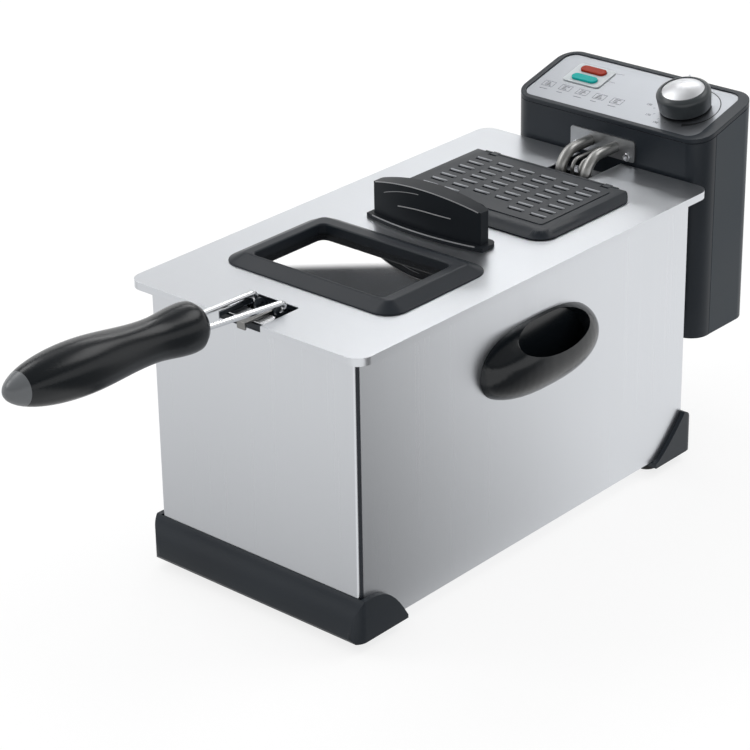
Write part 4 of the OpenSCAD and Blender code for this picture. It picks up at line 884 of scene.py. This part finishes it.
class FRYER_OT_basket(bpy.types.Operator):
    """Makes the wire basket with its frame, bracket and hook"""
    bl_idname = "fryer.basket"
    bl_label = "Basket"

    def execute(self, context):
        sizes = context.scene.fryer_sizes
        tree = make_wire_tree()
        low, high = span("basket_mesh")
        pitch, r = sizes.weave / MM, sizes.weave_wire / MM / 2
        corner_r, under_rim, first_ring, floor_bend = 24, 2, 6, 6
        corner, top = corner_r - 2 * r, high.z - under_rim
        x0, y0, x1, y1, floor = low.x + 2 * r, low.y + 2 * r, high.x - 2 * r, high.y - 2 * r, low.z + 2 * r
        common = {"Radius": r * MM, "Material": FINISH["bright steel"]}

        def row(name, lines, count, offset, bend, closed=False):
            values = {"Count": count, "Offset": tuple(v * MM for v in offset), "Bend": bend * MM, **common}
            return grow(polylines(name, lines, closed), tree, values)

        def steps(a, b):
            return max(2, round((b - a) / pitch) + 1)

        parts = []
        z = floor + first_ring
        n = steps(z, top)
        parts.append(row("rings", [[(x0, y0, z), (x1, y0, z), (x1, y1, z), (x0, y1, z)]],
                         n, (0, 0, (top - z) / (n - 1)), corner, True))
        n = steps(y0 + corner, y1 - corner)
        parts.append(row("across", [[(x0 + r, y0 + corner, top), (x0 + r, y0 + corner, floor),
                                     (x1 - r, y0 + corner, floor), (x1 - r, y0 + corner, top)]],
                         n, (0, (y1 - y0 - 2 * corner) / (n - 1), 0), floor_bend))
        n = steps(x0 + corner, x1 - corner)
        parts.append(row("along", [[(x0 + corner, y0 + r, top), (x0 + corner, y0 + r, floor + 2 * r),
                                    (x0 + corner, y1 - r, floor + 2 * r), (x0 + corner, y1 - r, top)]],
                         n, ((x1 - x0 - 2 * corner) / (n - 1), 0, 0), floor_bend))
        bends = []
        for i in range(1, 4):
            out, back = corner * math.sin(i * math.pi / 8), corner * (1 - math.cos(i * math.pi / 8))
            for y in (y0 + corner - out, y1 - corner + out):
                bends.append([(x0 + back + r, y, top), (x0 + back + r, y, floor), (x1 - back - r, y, floor),
                              (x1 - back - r, y, top)])
        parts.append(row("corners", bends, 1, (0, 0, 0), floor_bend))
        place(join("fryer_basket_mesh", parts), "basket_mesh")
        dress("basket_frame", "bright steel")
        # The bracket is a real part, but its black is painted shade: it keeps the inside of the lid's notch
        # above it dark.
        dress("basket_bracket", "black", 0.0005)
        dress("basket_hook", "hook steel", 0.0004)
        return {"FINISHED"}


class FRYER_OT_basket_handle(bpy.types.Operator):
    """Makes the folding handle"""
    bl_idname = "fryer.basket_handle"
    bl_label = "Basket handle"

    def execute(self, context):
        dress("handle_wires", "bright steel")
        dress("handle_grip", "grip")
        dress("grip_end_cap", "cap")
        return {"FINISHED"}


class FRYER_OT_lid(bpy.types.Operator):
    """Makes the lid sheet, its liner and the filter mat"""
    bl_idname = "fryer.lid"
    bl_label = "Lid"

    def execute(self, context):
        dress("lid_sheet", "lid steel", 0.0004, 2)
        dress("lid_liner", "black")
        dress("filter_mat", "tube steel")
        coat("lid_pull_screws", "bright steel")
        return {"FINISHED"}


class FRYER_OT_window(bpy.types.Operator):
    """Makes the window and its frame"""
    bl_idname = "fryer.window"
    bl_label = "Window"

    def execute(self, context):
        low, high = span("window_frame")
        foot, top = 212.0, high.z
        r_out, r_in = 15, 5
        hole = (low.x + 18, low.y + 12.5, high.x - 18, high.y - 20)

        def outer(inset, z):
            return corner_loop(low.x + inset, low.y + inset, high.x - inset, high.y - inset, r_out - inset, z)

        def inner(out, z):
            return corner_loop(hole[0] - out, hole[1] - out, hole[2] + out, hole[3] + out, r_in + out, z)

        edge = [(0, foot), (0, foot + 0.6), (0.12, foot + 0.9), (0.5, foot + 1.15), (9.2, top - 0.75),
                (9.9, top - 0.42), (10.5, top - 0.2), (11.2, top - 0.05), (12.0, top)]
        opening = [(1.4, top), (0.8, top - 0.1), (0.3, top - 0.4), (0.05, top - 0.9), (0, top - 1.5),
                   (0, low.z), (3.5, low.z), (3.5, foot)]
        loops = [outer(*step) for step in edge] + [inner(*step) for step in opening]
        place(smooth(ring_loft("fryer_window_frame", loops, FINISH["cover"])), "window_frame")
        dress("window_glass", "glass")
        return {"FINISHED"}


class FRYER_OT_filter_cover(bpy.types.Operator):
    """Makes the filter cover and its hinge"""
    bl_idname = "fryer.filter_cover"
    bl_label = "Filter cover"

    def execute(self, context):
        sizes = context.scene.fryer_sizes
        dress("filter_cover", "cover")
        low, high = span("filter_cover")
        cols, rows = sizes.louvre_columns, sizes.louvre_rows
        beside, before, middle_back, lip_back, sunk = 30, 34, 3, 1.9, 0.15
        # Raised lips behind the slots: real bars, coloured pale grey as a painted highlight along the slots.
        lips = new_object("fryer_louvre_lips", [(0, 0, 0)], [], FINISH["lip"])
        grow(lips, make_lip_tree(), {
            "Columns": cols, "Rows": rows, "Column pitch": (high.x - low.x - beside) / cols * MM,
            "Row pitch": (high.y - low.y - before) / rows * MM, "Length": 0.0125, "Radius": sizes.louvre,
            "Material": FINISH["lip"]})
        y = (low.y + high.y) / 2 + middle_back + lip_back
        lips.data.transform(Matrix.Translation(at(0, y, high.z - sunk)))
        add_on(lips, BODY_OF["filter_cover"])
        dress("hinge_ears", "black", 0.0004)
        coat("hinge_pins", "bright steel")
        return {"FINISHED"}


class FRYER_OT_lid_handle(bpy.types.Operator):
    """Makes the handle of the lid"""
    bl_idname = "fryer.lid_handle"
    bl_label = "Lid handle"

    def execute(self, context):
        dress("lid_pull", "pull", 0.0008, 3)
        low, high = span("lid_pull")
        half, mid, bow, rise = 47, 168.5, 5, 7  # the plate's half length, its face, and how far both curve
        bulge, arch = (half ** 2 + bow ** 2) / bow / 2, (half ** 2 + rise ** 2) / rise / 2

        def front(x, grown=0.0):
            return mid + bulge - math.sqrt((bulge + grown) ** 2 - x * x)

        def crown(x):
            return high.z - arch + math.sqrt(arch * arch - x * x)

        def line(points, radius):
            return wire("line", [at(*p) for p in points], radius * MM, FINISH["line"], 8)

        def high_line(x):
            return low.z + 28.5 - ((2 - x) / 37) ** 2 * 7

        def low_line(x):
            return low.z + 17.5 - (max(0, 5 - x) / 27) ** 2 * 2.3

        # Four thin raised ridges on the handle's face; their pale grey colour is a painted highlight along
        # them.
        across = range(-45, 46, 3)
        lines = [
            line([(x, front(x) - 0.05, crown(x) - 0.5) for x in across], 0.42),
            line([(x, front(x, 4) + 0.3, low.z + 2.8) for x in across], 0.5),
            line([(x, front(x) + 0.15, high_line(x)) for x in range(-36, 0, 3)], 0.3),
            line([(x, front(x) + 0.05, low_line(x)) for x in range(-22, 25, 2)], 0.45)]
        add_on(join("fryer_lid_pull_lines", lines), BODY_OF["lid_pull"])
        return {"FINISHED"}


# ------------------------------------------------------------------ stage


def mix_rays(nodes, links):
    """A factor that is 1 for what the eye, a reflection or a look through glass meets."""
    maths, _ = calculator(nodes, links)
    path = nodes.new("ShaderNodeLightPath")
    seen = maths("MAXIMUM", path.outputs["Is Camera Ray"], path.outputs["Is Glossy Ray"])
    return maths("MAXIMUM", seen, path.outputs["Is Transmission Ray"])


def make_floor():
    """Pale floor; reflections meet a soft dark card that lies on it along the fryer's right side."""
    mat = bpy.data.materials.new("Pale floor")
    mat.use_nodes = True
    nodes, links = mat.node_tree.nodes, mat.node_tree.links
    nodes.clear()
    maths, between = calculator(nodes, links)
    place_at = nodes.new("ShaderNodeTexCoord")
    split = nodes.new("ShaderNodeSeparateXYZ")
    links.new(place_at.outputs["Object"], split.inputs[0])
    x, y = split.outputs["X"], split.outputs["Y"]
    front, slant, pale = -MID_Y * MM, -0.825, 0.80
    along = maths("MULTIPLY_ADD", x, slant, y)
    card = maths("MULTIPLY", between(along, front - 0.12, front + 0.21, pale, 0.0),
                 between(y, front - 0.05, front + 0.01, 0.0, 1.0, True))
    beside = between(x, 0.05, 0.13, 0.0, 1.0, True)
    near = between(y, front - 0.32, front, 0.12, 0.42)
    before = between(y, front - 0.01, front + 0.01, 1.0, 0.0)
    shade_front = maths("MULTIPLY", near, maths("MULTIPLY", before, maths("SUBTRACT", 1.0, beside)))
    path = nodes.new("ShaderNodeLightPath")
    dim = maths("MULTIPLY", maths("MULTIPLY_ADD", card, beside, shade_front), path.outputs["Is Glossy Ray"])
    glow = nodes.new("ShaderNodeEmission")
    glow.inputs["Color"].default_value = (1, 1, 1, 1)
    links.new(maths("SUBTRACT", pale, dim), glow.inputs["Strength"])
    thin, full = nodes.new("ShaderNodeBsdfDiffuse"), nodes.new("ShaderNodeBsdfDiffuse")
    thin.inputs["Color"].default_value = (0.26, 0.26, 0.26, 1)
    full.inputs["Color"].default_value = (0.75, 0.75, 0.75, 1)
    add = nodes.new("ShaderNodeAddShader")
    links.new(glow.outputs[0], add.inputs[0])
    links.new(thin.outputs[0], add.inputs[1])
    mix = nodes.new("ShaderNodeMixShader")
    links.new(mix_rays(nodes, links), mix.inputs[0])
    links.new(full.outputs[0], mix.inputs[1])
    links.new(add.outputs[0], mix.inputs[2])
    links.new(mix.outputs[0], nodes.new("ShaderNodeOutputMaterial").inputs["Surface"])
    s = 30
    floor = new_object("floor", [(-s, -s, 0), (s, -s, 0), (s, s, 0), (-s, s, 0)], [(0, 1, 2, 3)], mat)


def make_world():
    """White for the eye; reflections meet a white wall, a dark gap above it, and a pale ceiling."""
    world = bpy.data.worlds.new("Studio")
    bpy.context.scene.world = world
    world.use_nodes = True
    nodes, links = world.node_tree.nodes, world.node_tree.links
    nodes.clear()
    maths, between = calculator(nodes, links)
    path = nodes.new("ShaderNodeLightPath")
    coords = nodes.new("ShaderNodeTexCoord")
    split = nodes.new("ShaderNodeSeparateXYZ")
    links.new(coords.outputs["Generated"], split.inputs[0])
    x, y, z = (split.outputs[axis] for axis in "XYZ")
    wall_top = (0.3895, 0.3925)  # heights as sines of the angle above the floor
    wall = between(z, *wall_top, 1.05, 0.10, True)
    brim = maths("MULTIPLY", between(z, 0.350, 0.366, 0.0, 2.3, True), between(z, *wall_top, 1.0, 0.0, True))
    rear_left = maths("MULTIPLY_ADD", x, -0.682, maths("MULTIPLY", y, 0.731))
    brim = maths("MULTIPLY", brim, between(rear_left, 0.84, 0.90, 0.0, 1.0, True))
    ceiling = maths("MULTIPLY", between(z, 0.50, 0.64, 0.0, 0.80, True),
                    between(x, -0.50, -0.10, 1.0, 0.25, True))
    room, white, ambient = (nodes.new("ShaderNodeBackground") for _ in range(3))
    for background in (room, white, ambient):
        background.inputs["Color"].default_value = (1, 1, 1, 1)
    links.new(maths("ADD", maths("ADD", wall, brim), ceiling), room.inputs["Strength"])
    ambient.inputs["Strength"].default_value = 0.55
    first, second = nodes.new("ShaderNodeMixShader"), nodes.new("ShaderNodeMixShader")
    links.new(path.outputs["Is Glossy Ray"], first.inputs[0])
    links.new(ambient.outputs[0], first.inputs[1])
    links.new(room.outputs[0], first.inputs[2])
    seen = maths("MAXIMUM", path.outputs["Is Camera Ray"], path.outputs["Is Transmission Ray"])
    links.new(seen, second.inputs[0])
    links.new(first.outputs[0], second.inputs[1])
    links.new(white.outputs[0], second.inputs[2])
    links.new(second.outputs[0], nodes.new("ShaderNodeOutputWorld").inputs["Surface"])


def softbox(name, direction, distance, size, power, target=(0, 0, 0.1)):
    """A flat lamp of size metres, at a distance in a direction from target, turned to face it."""
    light = bpy.data.lights.new(name, "AREA")
    light.shape = "RECTANGLE"
    light.size, light.size_y = size
    light.energy = power
    obj = bpy.data.objects.new(name, light)
    bpy.context.scene.collection.objects.link(obj)
    away = Vector(direction).normalized()
    obj.location = Vector(target) + away * distance
    obj.rotation_mode = "QUATERNION"
    obj.rotation_quaternion = away.to_track_quat("Z", "Y")
    return obj


def make_camera():
    """A long lens, to the right of the front and above the lid."""
    azimuth, elevation, roll = math.radians(41.59326), math.radians(25.23825), math.radians(-0.90393)
    right = Vector((math.cos(azimuth), math.sin(azimuth), 0))
    back = Vector((math.sin(azimuth) * math.cos(elevation), -math.cos(azimuth) * math.cos(elevation),
                   math.sin(elevation)))
    up = back.cross(right)
    right, up = (right * math.cos(roll) + up * math.sin(roll), up * math.cos(roll) - right * math.sin(roll))
    data = bpy.data.cameras.new("camera")
    data.sensor_width = 36
    data.lens = 130.7376
    data.shift_x, data.shift_y = -0.00192, -0.0059
    data.clip_start, data.clip_end = 0.01, 100
    camera = bpy.data.objects.new("camera", data)
    bpy.context.scene.collection.objects.link(camera)
    turn = Matrix((right, up, back)).transposed().to_4x4()
    turn.translation = at(1101.165, -1120.358, 910.872)
    camera.matrix_world = turn
    bpy.context.scene.camera = camera


class FRYER_OT_stage(bpy.types.Operator):
    """Makes the floor, the light and the camera"""
    bl_idname = "fryer.stage"
    bl_label = "Stage"

    def execute(self, context):
        make_floor()
        make_world()
        softbox("key", (-0.62, -0.42, 0.66), 2.2, (0.9, 0.7), 7)
        softbox("side", (-0.60, 0.07, 0.80), 2.2, (0.9, 0.7), 5)
        softbox("back", (0.35, 0.75, 0.95), 2.4, (1.4, 0.8), 10)
        softbox("strip", (-0.391, 0.678, 0.6225), 2.4, (0.9, 0.16), 3.4)
        make_camera()
        context.scene.view_settings.view_transform = "Standard"
        return {"FINISHED"}


class FRYER_PT_sidebar(bpy.types.Panel):
    bl_label = "Deep fryer"
    bl_idname = "FRYER_PT_sidebar"
    bl_space_type = "VIEW_3D"
    bl_region_type = "UI"
    bl_category = "Fryer"

    def draw(self, context):
        column = self.layout.column()
        for group in (context.scene.fryer_finish, context.scene.fryer_sizes):
            for name in group.__annotations__:
                column.prop(group, name)
        for operator in OPERATORS:
            column.operator(operator.bl_idname)


OPERATORS = (
    FRYER_OT_materials, FRYER_OT_stage, FRYER_OT_housing, FRYER_OT_side_handles, FRYER_OT_tank,
    FRYER_OT_heating_unit, FRYER_OT_control_box, FRYER_OT_control_panel, FRYER_OT_knob, FRYER_OT_basket,
    FRYER_OT_basket_handle, FRYER_OT_lid, FRYER_OT_window, FRYER_OT_filter_cover, FRYER_OT_lid_handle,
)
CLASSES = (FryerFinish, FryerSizes, *OPERATORS, FRYER_PT_sidebar)


def register():
    for cls in CLASSES:
        bpy.utils.register_class(cls)
    bpy.types.Scene.fryer_finish = PointerProperty(type=FryerFinish)
    bpy.types.Scene.fryer_sizes = PointerProperty(type=FryerSizes)


def unregister():
    del bpy.types.Scene.fryer_sizes
    del bpy.types.Scene.fryer_finish
    for cls in reversed(CLASSES):
        bpy.utils.unregister_class(cls)


def main():
    register()
    for operator in OPERATORS:
        group, name = operator.bl_idname.split(".")
        getattr(getattr(bpy.ops, group), name)()


if __name__ == "__main__":
    main()
